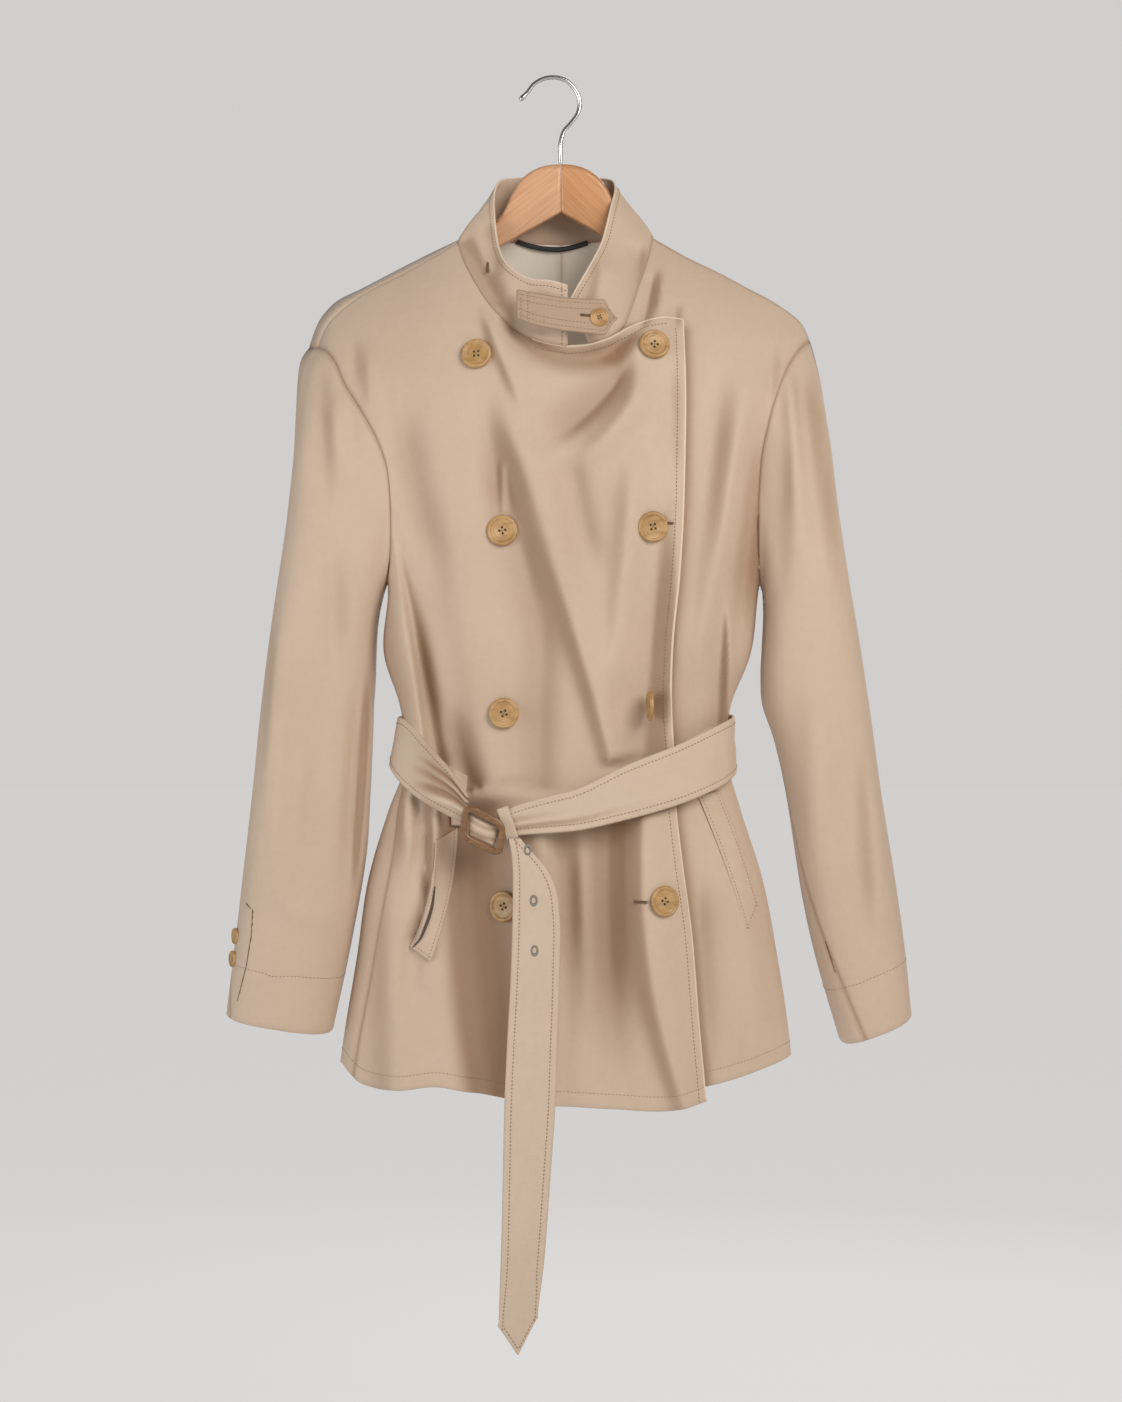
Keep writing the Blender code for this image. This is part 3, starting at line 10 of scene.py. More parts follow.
import bpy
import numpy as np
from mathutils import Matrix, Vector


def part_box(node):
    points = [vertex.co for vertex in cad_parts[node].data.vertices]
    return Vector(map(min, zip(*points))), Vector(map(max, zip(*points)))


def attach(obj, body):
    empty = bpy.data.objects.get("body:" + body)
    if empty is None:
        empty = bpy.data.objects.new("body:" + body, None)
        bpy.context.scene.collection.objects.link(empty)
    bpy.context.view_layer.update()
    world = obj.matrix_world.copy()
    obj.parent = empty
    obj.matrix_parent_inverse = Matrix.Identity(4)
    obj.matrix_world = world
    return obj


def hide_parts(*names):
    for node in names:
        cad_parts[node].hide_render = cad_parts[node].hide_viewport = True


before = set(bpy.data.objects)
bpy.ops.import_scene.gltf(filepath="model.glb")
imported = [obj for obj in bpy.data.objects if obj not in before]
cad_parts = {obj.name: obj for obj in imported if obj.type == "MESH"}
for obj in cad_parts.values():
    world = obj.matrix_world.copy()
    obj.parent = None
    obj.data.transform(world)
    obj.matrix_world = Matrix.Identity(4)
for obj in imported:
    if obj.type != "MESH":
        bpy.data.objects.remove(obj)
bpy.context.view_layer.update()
MM = 0.001
pi = np.pi

# %% [markdown]
# ## Small tools
# A few helpers are used all through: tables with named columns, a smooth curve through a column, a
# soft step, even points along a line, and the signed power that squares off an oval. They take
# whole arrays, which is quick and leaves each shape a plain formula.

# %% Small tools
def table(names, rows):
    """A short table as named columns."""
    columns = np.array(rows, float).T
    return dict(zip(names.split(), columns))


def smooth(knots, values, at):
    """Cubic curve through the knots, level beyond both ends."""
    knots = np.asarray(knots, float)
    values = np.asarray(values, float)
    slope = np.gradient(values, knots)
    at = np.clip(at, knots[0], knots[-1])
    i = np.clip(np.searchsorted(knots, at) - 1, 0, len(knots) - 2)
    span = knots[i + 1] - knots[i]
    t = (at - knots[i]) / span
    start = (1 + 2 * t) * (1 - t) ** 2 * values[i] + t * (1 - t) ** 2 * span * slope[i]
    end = t * t * (3 - 2 * t) * values[i + 1] + t * t * (t - 1) * span * slope[i + 1]
    return start + end


def step(t):
    """Soft step from 0 to 1."""
    t = np.clip(t, 0.0, 1.0)
    return t * t * (3 - 2 * t)


def run_along(points, axis=0):
    """Distance along each line of points from its first one: the sum of the steps so far."""
    steps = np.diff(points, axis=axis, prepend=points.take([0], axis))
    return np.cumsum(np.linalg.norm(steps, axis=-1), axis=axis)


def stack(*parts):
    """Arrays side by side along a new last axis, such as the x, y and drop of points."""
    return np.stack(parts, axis=-1)


def path(points, count):
    """Even points along a smooth curve through a few points."""
    points = np.asarray(points, float)
    run = run_along(points)
    fine = np.linspace(0.0, run[-1], 40 * len(points))
    curve = stack(*[smooth(run, p, fine) for p in points.T])
    length = run_along(curve)
    even = np.linspace(0.0, length[-1], count)
    return stack(*[np.interp(even, length, c) for c in curve.T])


def unit(vectors):
    """Each vector divided by its length."""
    return vectors / np.linalg.norm(vectors, axis=-1, keepdims=True)


def bent(values, power):
    """Signed power, sign(v) * |v|^power, which squares off an oval of a sine and a cosine."""
    return np.sign(values) * np.abs(values) ** power


def circle(count):
    """Even turns round a full circle."""
    return np.linspace(0, 2 * pi, count, endpoint=False)


def entry(columns, i):
    """One row of a table as named numbers."""
    return {name: column[i] for name, column in columns.items()}


# %% [markdown]
# ## The coat's form
# The coat is a squared-off oval tube from the hem to the underarm, and above it the front and the
# back lean in to the shoulder ridge. A pattern cutter would shape it the same way, with a side
# seam, a shoulder seam and an armhole. One function gives the depth of the cloth anywhere, so the
# panels, pockets and buttons all lie on the same surface.

# %% Tube of the body
UNDERARM = 430.0  # drop at which the armholes end
CENTRE_X = 6.8  # middle of the neck and the hanger
TORSO = table("drop left right front back square", [
    (130, -222, 230, -72, 33, 2.4),
    (228, -216, 226, -78, 34, 2.4),
    (263, -206, 221, -80, 35, 2.4),
    (315, -179, 203, -81, 35, 2.4),
    (379, -150, 186, -81, 34, 2.4),
    (430, -139, 174, -80, 33, 2.4),
    (490, -142, 166, -78, 32, 2.4),
    (535, -128, 149, -75, 30, 2.4),
    (580, -124, 147.5, -73, 28, 2.5),
    (619, -138, 158, -76, 30, 2.5),
    (676, -155, 176, -80, 33, 2.4),
    (743, -165, 189, -82, 35, 2.3),
    (810, -176, 199, -84, 36, 2.3),
    (870, -184, 204, -86, 37, 2.3),
])
print("waist", TORSO["right"].min() - TORSO["left"].max(), "mm across")

# %% Shoulder ridge
# The line that the front and the back hang from along the shoulders, carried on over the neck.
# The right back panel rolls over the top and meets its front below the ridge.
LEFT_SHOULDER = [(85, 134), (113, 150), (144.5, 165.3), (165, 176.4), (186, 187.4), (199, 196),
                 (210.8, 206), (219, 221.7)]
RIDGE_FRONT = table("x drop", [
    (-222, 246), (-200, 227.5), (-191.5, 209.7), (-174.5, 192.7), (-161.4, 183.4), (-123.7, 163.9),
    (-80.6, 138.8), (-40, 118), (6.8, 100), (48, 114), *LEFT_SHOULDER, (232, 240),
])
RIDGE_BACK = table("x drop", [
    (-222, 250), (-208, 227), (-197.5, 202), (-186.4, 189.5), (-162.2, 176.7), (-116.6, 153),
    (-80.6, 135.5), (-70, 110), (-50, 85), (6.8, 70), (55, 85), (75, 108), *LEFT_SHOULDER,
    (232, 240),
])
SEAM_Y_RIGHT = -7.0  # depth of the wearer's right shoulder seam
CREST_Y_RIGHT = 3.0  # depth of the roll above it
SEAM_Y_LEFT = 2.0
CHANGE_FROM, CHANGE_WIDTH = -40.0, 90.0  # x where the right depth turns into the left one
FRONT_FALL = 3.8  # how late the front comes back to the ridge
BACK_FALL = 6.0
SIDE_FADE = 3.2  # folds fade where the wall turns to the side
RIDGE_FADE = 8  # and close to the ridge
print(len(RIDGE_FRONT["x"]), "points along the ridge")

# %% Side seams, free edge and hem
# Turn of the side seams round the tube, in degrees from the front, and the panel edges.
SEAMS = table("drop right_side left_side", [
    (430, -88, 93), (510, -87, 93), (580, -78, 92), (650, -62, 92), (743, -64, 94), (870, -68, 96),
])
FREE_EDGE = table("drop x", [
    (205, 108.5), (272, 109.7), (323, 108.9), (380, 107.2), (427, 103.9), (476, 98.6), (528, 97.4),
    (568, 99.6), (616, 101.5), (659, 106.4), (720, 114.6), (793, 120.4), (870, 127.4),
])
HIDDEN_EDGE_X = -58.0
HEM_OVER = table("x drop", [
    (-179, 831), (-163, 844), (-148, 848), (-128, 849), (-95, 846), (-62, 852), (-37, 856),
    (6, 860), (50, 863), (101, 864), (127, 857),
])
HEM_UNDER = table("x drop", [(-58, 850), (60, 850), (130, 845), (152, 840), (179, 832), (201, 825)])
HEM_BACK = table("x drop", [
    (-179, 831), (-163, 844), (-148, 848), (-80, 842), (0, 840), (100, 842), (152, 840),
    (179, 832), (201, 825),
])
print("hem down to", HEM_OVER["drop"].max(), "mm")

# %% [markdown]
# ## Folds
# Real folds are uneven: each starts somewhere, deepens and dies out. Every fold is one row of a
# table, a line with a height and its own softness on either side. A steep and a gentle side make
# the sharp edge and the slow shade that tell a fold from a wave. The heights are added to the
# coat's form, so that a fold bends the cloth itself and holds in side views.

# %% Folds of the fronts
# A line from (x0, drop0) to (x1, drop1), bowed sideways in the middle by the bend, with a rise
# towards the viewer, a width on its left and right, and the share of its length that it takes to
# start and to end. Rises under 0 are hollows.
FOLD_COLUMNS = "x0 drop0 x1 drop1 bend rise wide_left wide_right start end"
FRONT_FOLDS = table(FOLD_COLUMNS, [
    (-138, 366, -104, 592, 2, 17, 32, 2.8, 0.45, 0.03),  # loose strip beside the right sleeve
    (-127, 420, -93, 592, 2, -7, 4, 8, 0.5, 0.03),
    (-93, 519, -68.2, 603, 0, -7, 10, 12, 0.5, 0.03),  # hollow above the belt
    (-132.5, 252, -86.4, 450, -8, -6.5, 13, 18, 0.35, 0.4),  # long trough from the chest
    (-93, 338, -43.5, 602, 0, 4, 18, 20, 0.4, 0.05),
    (-169.6, 211, -166.3, 274, 0, -2, 6, 7, 0.4, 0.4),  # short crease at the sleeve head
    (-154, 222, -149, 297, 0, 2.5, 7, 7, 0.4, 0.4),
    (-60, 194, -14.6, 303, -2, 5, 6, 16, 0.3, 0.45),  # drape from the neck
    (-61.6, 257, -41, 396, 0, -4.5, 10, 13, 0.4, 0.3),  # shade between the right buttons
    (-48.4, 203, 78.5, 216, -33, -12, 12, 9, 0.14, 0.2),  # hollow under the throat tab
    (68.6, 236, -33.6, 326, 13, -9, 26, 9, 0.25, 0.45),  # swoop from the top button
    (80.2, 249, 7.6, 338, 12, 6, 10, 13, 0.3, 0.4),
    (95.8, 231, 98.3, 363, 0, -3, 9, 8, 0.35, 0.4),  # hollow inside the free edge
    (-48.4, 264, 15.9, 455, 3, 8.5, 17, 19, 0.35, 0.3),  # main fold, its upper half
    (-10.5, 379, 52.1, 581, 2, 9, 10.5, 17, 0.45, 0.03),  # main fold down to the belt
    (-53.4, 280, -2.3, 519, 0, -6.5, 24, 13, 0.35, 0.4),  # hollow beside the main fold
    (-3.9, 396, -14.6, 606, -3, -7, 22, 16, 0.6, 0.03),  # hollow left of its foot
    (10.9, 321, 33.2, 433, 0, -5.5, 12, 12, 0.2, 0.4),  # wedge between the ridges
    (68.6, 305, 45.6, 544, 3, 6, 12, 13, 0.3, 0.3),  # second ridge
    (106.6, 321, 96.7, 584, 0, 9, 12, 10, 0.5, 0.03),  # strip beside the free edge
    (88.4, 354, 67, 592, 3, -5.5, 24, 12, 0.5, 0.03),  # hollow left of the turned button
    (85.1, 163, 71.9, 226, 0, -4, 4, 5.5, 0.25, 0.35),  # small folds beside the collar
    (95, 156, 88.4, 213, 0, 3, 5, 6, 0.3, 0.4),
    (103.3, 189, 100, 222, 0, -3, 4, 5, 0.4, 0.4),
    (168.4, 227, 113.2, 527, 0, 7.5, 17, 12, 0.35, 0.2),  # ridge from the left shoulder
    (139.5, 227, 123.9, 462, 0, -4.5, 15, 14, 0.4, 0.4),  # hollow left of it
    (184.1, 216, 179.1, 297, 0, -3, 9, 7, 0.4, 0.4),  # hollow beside the left armhole
    (177.5, 268, 148.6, 507, 0, -10, 12, 16, 0.35, 0.4),  # hollow down the left side
    (139.5, 445, 135.4, 565, 0, -4.5, 8, 9, 0.6, 0.02),  # hollow at the left waist
    (145.3, 412, 145.3, 565, 1, 5.5, 4, 6, 0.4, 0.03),
    (-41.8, 325, -41, 376, 0, 1.6, 3, 3, 0.3, 0.1),  # pucker above a button
    (-117, 590, -128, 700, 4, 12, 16, 4.5, 0.1, 0.7),  # first pleat under the belt
    (-95, 596, -118, 735, 7, 11, 9, 4.5, 0.1, 0.6),  # second pleat, down to the pocket
    (-114.4, 602, -116.1, 645, 0, -5, 4, 4, 0.1, 0.4),
    (-104.5, 628, -106.2, 702, 0, -6.5, 3.5, 4, 0.2, 0.4),  # crease beside the pocket
    (-99.6, 661, -118.5, 735, 2, -9, 6, 2.5, 0.3, 0.2),  # open mouth of the pocket
    (-132.5, 651, -128.4, 856, 0, 7.5, 18, 17, 0.3, 0.02),  # ridge at the right hip
    (-116.1, 717, -119.3, 791, 0, -5, 9, 9, 0.3, 0.5),
    (-79.8, 607, -56.7, 867, -5, -17, 14, 38, 0.05, 0.02),  # wide hollow right of the pocket
    (-10.5, 610, -3.9, 866, 3, 8, 24, 10, 0.08, 0.02),  # ridge under the belt's tail
    (7.6, 620, 12.6, 837, 0, -9, 13, 16, 0.08, 0.6),  # hollow right of the tail
    (24.9, 626, 30.7, 808, 0, 3, 8, 8, 0.3, 0.6),  # pale band between the hollows
    (44.7, 610, 52.1, 886, -4, -13, 20, 20, 0.03, 0.6),  # deep fold in the skirt
    (76.1, 614, 114.8, 867, -15, 9, 12, 26, 0.04, 0.02),
    (139.5, 635, 152.7, 845, 3, 2.5, 15, 16, 0.4, 0.3),  # ridge at the left pocket
    (114.8, 651, 123.1, 866, 0, -5, 14, 12, 0.3, 0.02),
    (150, 610, 168, 835, 4, 3, 12, 12, 0.1, 0.1),
])
print(len(FRONT_FOLDS["x0"]), "folds on the fronts")

# %% Folds of the back
BACK_FOLDS = table(FOLD_COLUMNS, [
    (-60, 200, -96, 560, 4, 5, 18, 20, 0.3, 0.2),
    (74, 190, 118, 560, -4, 5, 20, 18, 0.3, 0.2),
    (-110, 470, -84, 585, 2, -5, 12, 14, 0.4, 0.05),
    (128, 470, 104, 585, 2, -5, 14, 12, 0.4, 0.05),
    (-20, 210, 34, 430, 12, -3.5, 14, 16, 0.4, 0.5),
    (52, 300, 8, 560, -6, -4, 10, 16, 0.4, 0.05),
    (-52, 380, -38, 585, 3, 5, 8, 15, 0.4, 0.05),
    (60, 420, 66, 585, -3, 5, 12, 9, 0.5, 0.05),
    (-74, 590, -96, 835, 3, 7, 16, 12, 0.05, 0.1),
    (-30, 590, -38, 838, -2, -6, 13, 18, 0.05, 0.1),
    (2, 590, 4, 838, 2, 4, 10, 12, 0.05, 0.1),
    (38, 590, 44, 838, 2, 6, 14, 16, 0.05, 0.1),
    (68, 590, 76, 838, 0, -5, 10, 13, 0.05, 0.1),
    (96, 590, 118, 836, -3, -5, 15, 12, 0.05, 0.1),
    (140, 600, 160, 832, 2, 5, 10, 14, 0.1, 0.1),
    (-120, 600, -138, 832, -2, -4, 12, 12, 0.1, 0.1),
])
print(len(BACK_FOLDS["x0"]), "folds on the back")

# %% Folds of the sleeves
SLEEVE_FOLDS = {
    "right": table(FOLD_COLUMNS, [
        (-201, 229, -190.3, 387, 2, -4, 10, 12, 0.25, 0.5),  # hollow down from the shoulder
        (-170.5, 272, -168, 343, 0, -2.6, 7, 8, 0.4, 0.5),  # crease at the sleeve head
        (-183.7, 264, -175.4, 379, 2, 3, 11, 11, 0.3, 0.5),
        (-185.3, 379, -180.4, 527, 0, -5, 12, 12, 0.4, 0.5),
        (-148.2, 445, -165.5, 717, 2, 4, 5, 5, 0.4, 0.3),  # rim of the inner edge
        (-159.7, 494, -172.1, 701, 2, -6, 8, 5, 0.4, 0.4),
        (-220.8, 412, -239.7, 651, 0, 4, 9, 10, 0.4, 0.5),
        (-208.4, 527, -220.8, 692, 0, -3.5, 12, 14, 0.4, 0.5),
        (-238.1, 695, -182, 725, 4, 2.2, 7, 10, 0.3, 0.4),
    ]),
    "left": table(FOLD_COLUMNS, [
        (203.9, 227, 230.2, 478, 0, -4.6, 11, 11, 0.2, 0.5),  # hollow down from the shoulder
        (222, 239, 251.7, 494, 2, 4, 11, 12, 0.3, 0.5),  # ridge outside it
        (197.3, 239, 203.9, 412, 2, 5, 8, 6, 0.2, 0.5),  # bright rim inside it
        (184.1, 305, 190.7, 478, 0, -3.2, 9, 11, 0.4, 0.5),
        (213.7, 478, 222, 692, 2, 4.5, 14, 14, 0.4, 0.4),
        (241, 527, 255, 742, 0, -3, 14, 12, 0.4, 0.3),
        (259.9, 544, 273.9, 742, 0, 3, 9, 9, 0.4, 0.4),
    ]),
}
print(*(len(rows["x0"]) for rows in SLEEVE_FOLDS.values()), "folds on the sleeves")


# %% Height of the folds
def folds(rows, x, drop):
    """Height of the folds at a place: a sum of soft ridges, each exp(-(distance / width)^2) across
    its line, with a soft step in and out along it."""
    total = np.zeros(np.broadcast(x, drop).shape)
    for i in range(len(rows["x0"])):
        f = entry(rows, i)
        along = np.array([f["x1"] - f["x0"], f["drop1"] - f["drop0"]])
        length = np.hypot(*along)
        ahead_x, ahead_d = along / length
        t = ((x - f["x0"]) * ahead_x + (drop - f["drop0"]) * ahead_d) / length
        inside = np.clip(t, 0.0, 1.0)
        beside = (x - f["x0"]) * ahead_d - (drop - f["drop0"]) * ahead_x
        beside = beside - f["bend"] * 4 * inside * (1 - inside)
        wide = np.where(beside < 0, f["wide_left"], f["wide_right"])
        fade = step(t / f["start"]) * step((1 - t) / f["end"])
        total = total + f["rise"] * np.exp(-((beside / wide) ** 2)) * fade
    return total


print("height of the main fold", folds(FRONT_FOLDS, 30.0, 500.0).round(1), "mm")


# %% Depth of the cloth
def oval(drop):
    """Middle, half width and half depth of the body tube at a drop, and its squareness."""
    names = ("left", "right", "front", "back", "square")
    left, right, front, back, square = (smooth(TORSO["drop"], TORSO[name], drop) for name in names)
    return (left + right) / 2, (front + back) / 2, (right - left) / 2, (back - front) / 2, square


def turn_at(x, drop):
    """Turn round the tube of a place on its front."""
    middle, _, half, _, square = oval(drop)
    u = np.clip((x - middle) / half, -1.0, 1.0)
    return np.arcsin(bent(u, square / 2))


def ring_x(turn, drop):
    """Place across of a turn round the tube: half width times the sine's signed power."""
    middle, _, half, _, square = oval(drop)
    return middle + half * bent(np.sin(turn), 2 / square)


def rise_to(ridge, x, drop):
    """How far a place is from the underarm, at 0, to the shoulder ridge, at 1."""
    top = smooth(ridge["x"], ridge["drop"], x)
    return np.clip((UNDERARM - drop) / (UNDERARM - top), 0.0, 1.0)


def skin(x, drop, facing, lift=0.0):
    """Depth of the coat's outside at (x, drop), on its front where facing is -1, on its back at 1:
    the tube's wall, brought back to the ridge above the underarm, with the folds added."""
    middle_x, middle_y, half, deep, square = oval(drop)
    u = np.clip(np.abs((x - middle_x) / half), 0.0, 1.0)
    wall = (1 - u ** square) ** (1 / square)
    tube = middle_y + facing * deep * wall
    front = facing < 0
    rise = np.where(front, rise_to(RIDGE_FRONT, x, drop), rise_to(RIDGE_BACK, x, drop))
    fall = np.where(front, FRONT_FALL, BACK_FALL)
    right_y = np.where(front, SEAM_Y_RIGHT, CREST_Y_RIGHT)
    ridge_y = right_y + (SEAM_Y_LEFT - right_y) * step((x - CHANGE_FROM) / CHANGE_WIDTH)
    height = np.where(front, folds(FRONT_FOLDS, x, drop), folds(BACK_FOLDS, x, drop))
    out = (height + lift) * np.clip(SIDE_FADE * wall, 0.0, 1.0) * (1 - rise ** RIDGE_FADE)
    return tube + (ridge_y - tube) * rise ** fall + facing * out


front_y, back_y = (skin(CENTRE_X, UNDERARM, np.array(facing)) for facing in (-1, 1))
print("chest", (back_y - front_y).round(1), "mm deep")

# %% [markdown]
# ## Seam lines
# A pattern cutter first draws the neck, the lapel, the shoulders and the armholes, because two
# pieces are sewn along each. Here both neighbours read the same (x, drop) points, so their edges
# meet exactly. Free outlines for each piece would leave gaps to hide.

# %% Neck, lapel and shoulders
NECK_RIGHT = [(-80.6, 138.8), (-75.9, 154.4), (-67.9, 172.3), (-56.7, 191.8), (-43, 209.2),
              (-27, 222), (-8, 230.3), (11.8, 234.3)]
NECK_LEFT = [(30.8, 233), (45.7, 227.6), (59, 216), (66, 199.3), (71.2, 183), (77.4, 164.5),
             (82, 149), (85, 134)]
LAPEL = [(11.8, 234.3), (27.4, 233.1), (46.4, 227.4), (65.3, 216.6), (81, 210), (97, 207.4),
         (108.4, 209)]
UNDER_TOP = [(-58, 268), (-20, 262), (12, 252), (30.8, 233)]
SHOULDER_RIGHT = [(-199.5, 228), (-191.5, 209.7), (-174.5, 192.7), (-161.4, 183.4), (-123.7, 163.9),
                  (-80.6, 138.8)]
CREST_RIGHT = [(-208, 227), (-197.5, 202), (-186.4, 189.5), (-162.2, 176.7), (-116.6, 153),
               (-80.6, 135.5)]
ROLL_START = 0.965  # share of its height at which the back neck's last row begins
BACK_NECK_RIGHT = [(-80.6, 138.8), (-76, 135), (-60, 134), (-28, 136), (CENTRE_X, 137)]
BACK_NECK_LEFT = [(85, 134), (80, 131.5), (64, 132), (36, 135), (CENTRE_X, 137)]
print("shoulders", LEFT_SHOULDER[-1][0] - SHOULDER_RIGHT[0][0], "mm across")

# %% Armholes
ARM_FRONT_RIGHT = [(-139, 430), (-136.4, 412), (-135.2, 385), (-135.6, 356), (-138, 334),
                   (-144.4, 314.7), (-160, 285.7), (-174, 263), (-186.1, 238.6), (-194.4, 230.7),
                   (-199.5, 228)]
ARM_BACK_RIGHT = [(-139, 430), (-138, 412), (-139.5, 385), (-143, 345), (-152, 305), (-168, 275),
                  (-186, 250), (-200, 234), (-208, 227)]
ARM_FRONT_LEFT = [(174, 430), (172.5, 413), (171.5, 387.4), (172, 350.6), (174, 323.2),
                  (180, 296.1), (188.1, 269.3), (198.2, 246.2), (207.5, 232.2), (215, 224.5),
                  (219, 221.7)]
ARM_BACK_LEFT = [(174, 430), (172.5, 412), (172.6, 385), (175, 345), (181, 305), (191, 272),
                 (204, 246), (214, 228), (219, 221.7)]
print("armholes", ARM_FRONT_RIGHT[0][1] - ARM_FRONT_RIGHT[-1][1], "mm deep")

# %% [markdown]
# ## Panels as grids
# A panel is a grid of points: its rows run round the body, its columns up it. Below the underarm
# the rows lie on the tube, and above it they are drawn towards the panel's own seams. A grid has
# no stray faces, carries the weave along the cloth, and can be made finer by one number.

# %% Size of the grids
FINE = 7  # cells of a grid here for each cell of the solid's grid
ROWS_SKIRT = 16 * FINE
ROWS_CHEST = 11 * FINE
COLUMNS_SHOULDER = 6 * FINE
COLUMNS_NECK_FRONT = 8 * FINE
COLUMNS_LAPEL = 8 * FINE
COLUMNS_UNDER_LAP = 4 * FINE
COLUMNS_NECK_BACK = 4 * FINE
WALL_SAMPLES = 600
EDGE_REACH = 2.0  # how soon a panel's columns forget the shape of its armhole or free edge
HEM_LEVEL = 845.0  # drop at which the hem's places round the tube are found
print(ROWS_SKIRT + ROWS_CHEST + 1, "rows in a panel")


# %% Panel grid
def even_shares(start, end, count):
    """Shares of the way from one turn to the other that lie evenly along the tube's wall."""
    turns = np.linspace(start, end, WALL_SAMPLES)
    _, _, _, deep, square = oval(UNDERARM)
    x = ring_x(turns, UNDERARM)
    y = -deep * bent(np.cos(turns), 2 / square)
    run = np.r_[0.0, np.cumsum(np.hypot(np.diff(x), np.diff(y)))]
    return np.interp(np.linspace(0, run[-1], count), run, np.linspace(0, 1, WALL_SAMPLES))


def panel(start, end, hem, top, side_start, side_end, facing, lift):
    """Outside of one panel as a grid: rows from the hem up, columns from start to end.

    Below the underarm a row runs round the tube between two turns. Above it the rows move from
    the underarm ring to the top line, while their ends follow the armhole or the panel's edge.
    """
    columns = len(top)
    share = even_shares(start(UNDERARM), end(UNDERARM), columns)[None, :]
    level = np.linspace(0.0, 1.0, ROWS_SKIRT + 1)[:-1, None]
    guess = start(HEM_LEVEL) + (end(HEM_LEVEL) - start(HEM_LEVEL)) * share
    hem_drop = smooth(hem["x"], hem["drop"], ring_x(guess, HEM_LEVEL))
    drop = hem_drop + (UNDERARM - hem_drop) * level
    turn = start(drop) + (end(drop) - start(drop)) * share
    x = ring_x(turn, drop)
    y = skin(x, drop, np.where(np.cos(turn) > 0, -1, 1), lift(x))
    lower = stack(x, y, drop)

    ring = start(UNDERARM) + (end(UNDERARM) - start(UNDERARM)) * share[0]
    bottom = stack(ring_x(ring, UNDERARM), np.full(columns, UNDERARM))
    level = np.linspace(0.0, 1.0, len(side_start))[:, None, None]
    flat = bottom[None] * (1 - level) + top[None] * level
    near_start = (1 - share[..., None]) ** EDGE_REACH
    near_end = share[..., None] ** EDGE_REACH
    flat = (flat + near_start * (side_start - flat[:, 0])[:, None]
            + near_end * (side_end - flat[:, -1])[:, None])
    x, drop = flat[..., 0], flat[..., 1]
    upper = stack(x, skin(x, drop, np.full(x.shape, facing), lift(x)), drop)
    return np.concatenate([lower, upper])


def joined(*runs):
    """Neighbouring runs of points, with each shared end point once."""
    return np.concatenate([runs[0]] + [run[1:] for run in runs[1:]])


print("even shares of a quarter turn", even_shares(0.0, pi / 2, 5).round(2))


# %% Edges of the panels
def seam_turn(name):
    """Turn of a side seam round the tube at any drop, as a function."""
    return lambda drop: np.radians(smooth(SEAMS["drop"], SEAMS[name], drop))


def centre_back_turn(centre):
    """Turn of the centre-back seam, which hangs straight below the neck, as a function."""
    return lambda drop: centre - turn_at(CENTRE_X, drop)


def free_edge_x(drop):
    """Place across of the over panel's free edge."""
    return smooth(FREE_EDGE["drop"], FREE_EDGE["x"], drop)


def edge_line(x_of_drop, top_point, rows=ROWS_CHEST):
    """Upper rows of an unsewn edge or the centre-back seam, from the underarm up."""
    drop = np.linspace(UNDERARM, top_point[1], rows + 1)
    return stack(x_of_drop(drop), drop)


print("free edge at", free_edge_x(UNDERARM).round(1), "mm beside the underarm")

# %% Fronts
LAP_LIFT = 1.7  # each front lies this far out or in where they lap
LAP_FROM_RIGHT, LAP_FROM_LEFT = -125.0, 172.0  # x where each front begins to do so
LAP_FADE = 60.0  # and how far on it lies all the way


def front_right_grid():
    """The over panel, from the right side seam to the free edge."""
    shoulder = path(SHOULDER_RIGHT, COLUMNS_SHOULDER + 1)
    neck = path(NECK_RIGHT, COLUMNS_NECK_FRONT + 1)
    lapel = path(LAPEL, COLUMNS_LAPEL + 1)
    top = joined(shoulder, neck, lapel)
    arm = path(ARM_FRONT_RIGHT, ROWS_CHEST + 1)
    edge = edge_line(free_edge_x, top[-1])
    return panel(seam_turn("right_side"), lambda drop: turn_at(free_edge_x(drop), drop), HEM_OVER,
                 top, arm, edge, -1, lambda x: LAP_LIFT * step((x - LAP_FROM_RIGHT) / LAP_FADE))


def front_left_grid():
    """The under panel, from its hidden edge to the left side seam."""
    hidden = path(UNDER_TOP, COLUMNS_UNDER_LAP + 1)
    neck = path(NECK_LEFT, COLUMNS_NECK_FRONT + 1)
    shoulder = path(LEFT_SHOULDER, COLUMNS_SHOULDER + 1)
    top = joined(hidden, neck, shoulder)
    edge = edge_line(lambda drop: HIDDEN_EDGE_X + 0 * drop, top[0])
    arm = path(ARM_FRONT_LEFT, ROWS_CHEST + 1)
    return panel(lambda drop: turn_at(HIDDEN_EDGE_X, drop), seam_turn("left_side"), HEM_UNDER,
                 top, edge, arm, -1, lambda x: -LAP_LIFT * step((LAP_FROM_LEFT - x) / LAP_FADE))


grids = {"front_right": front_right_grid(), "front_left": front_left_grid()}
print("fronts", grids["front_right"].shape, grids["front_left"].shape)


# %% Backs
def back_left_grid():
    """Left half of the back, from the left side seam to the centre-back seam."""
    shoulder = path(LEFT_SHOULDER[::-1], COLUMNS_SHOULDER + 1)
    top = joined(shoulder, path(BACK_NECK_LEFT, COLUMNS_NECK_BACK + 1))
    arm = path(ARM_BACK_LEFT, ROWS_CHEST + 1)
    middle = edge_line(lambda drop: CENTRE_X + 0 * drop, top[-1])
    return panel(seam_turn("left_side"), centre_back_turn(pi), HEM_BACK,
                 top, arm, middle, 1, lambda x: 0 * x)


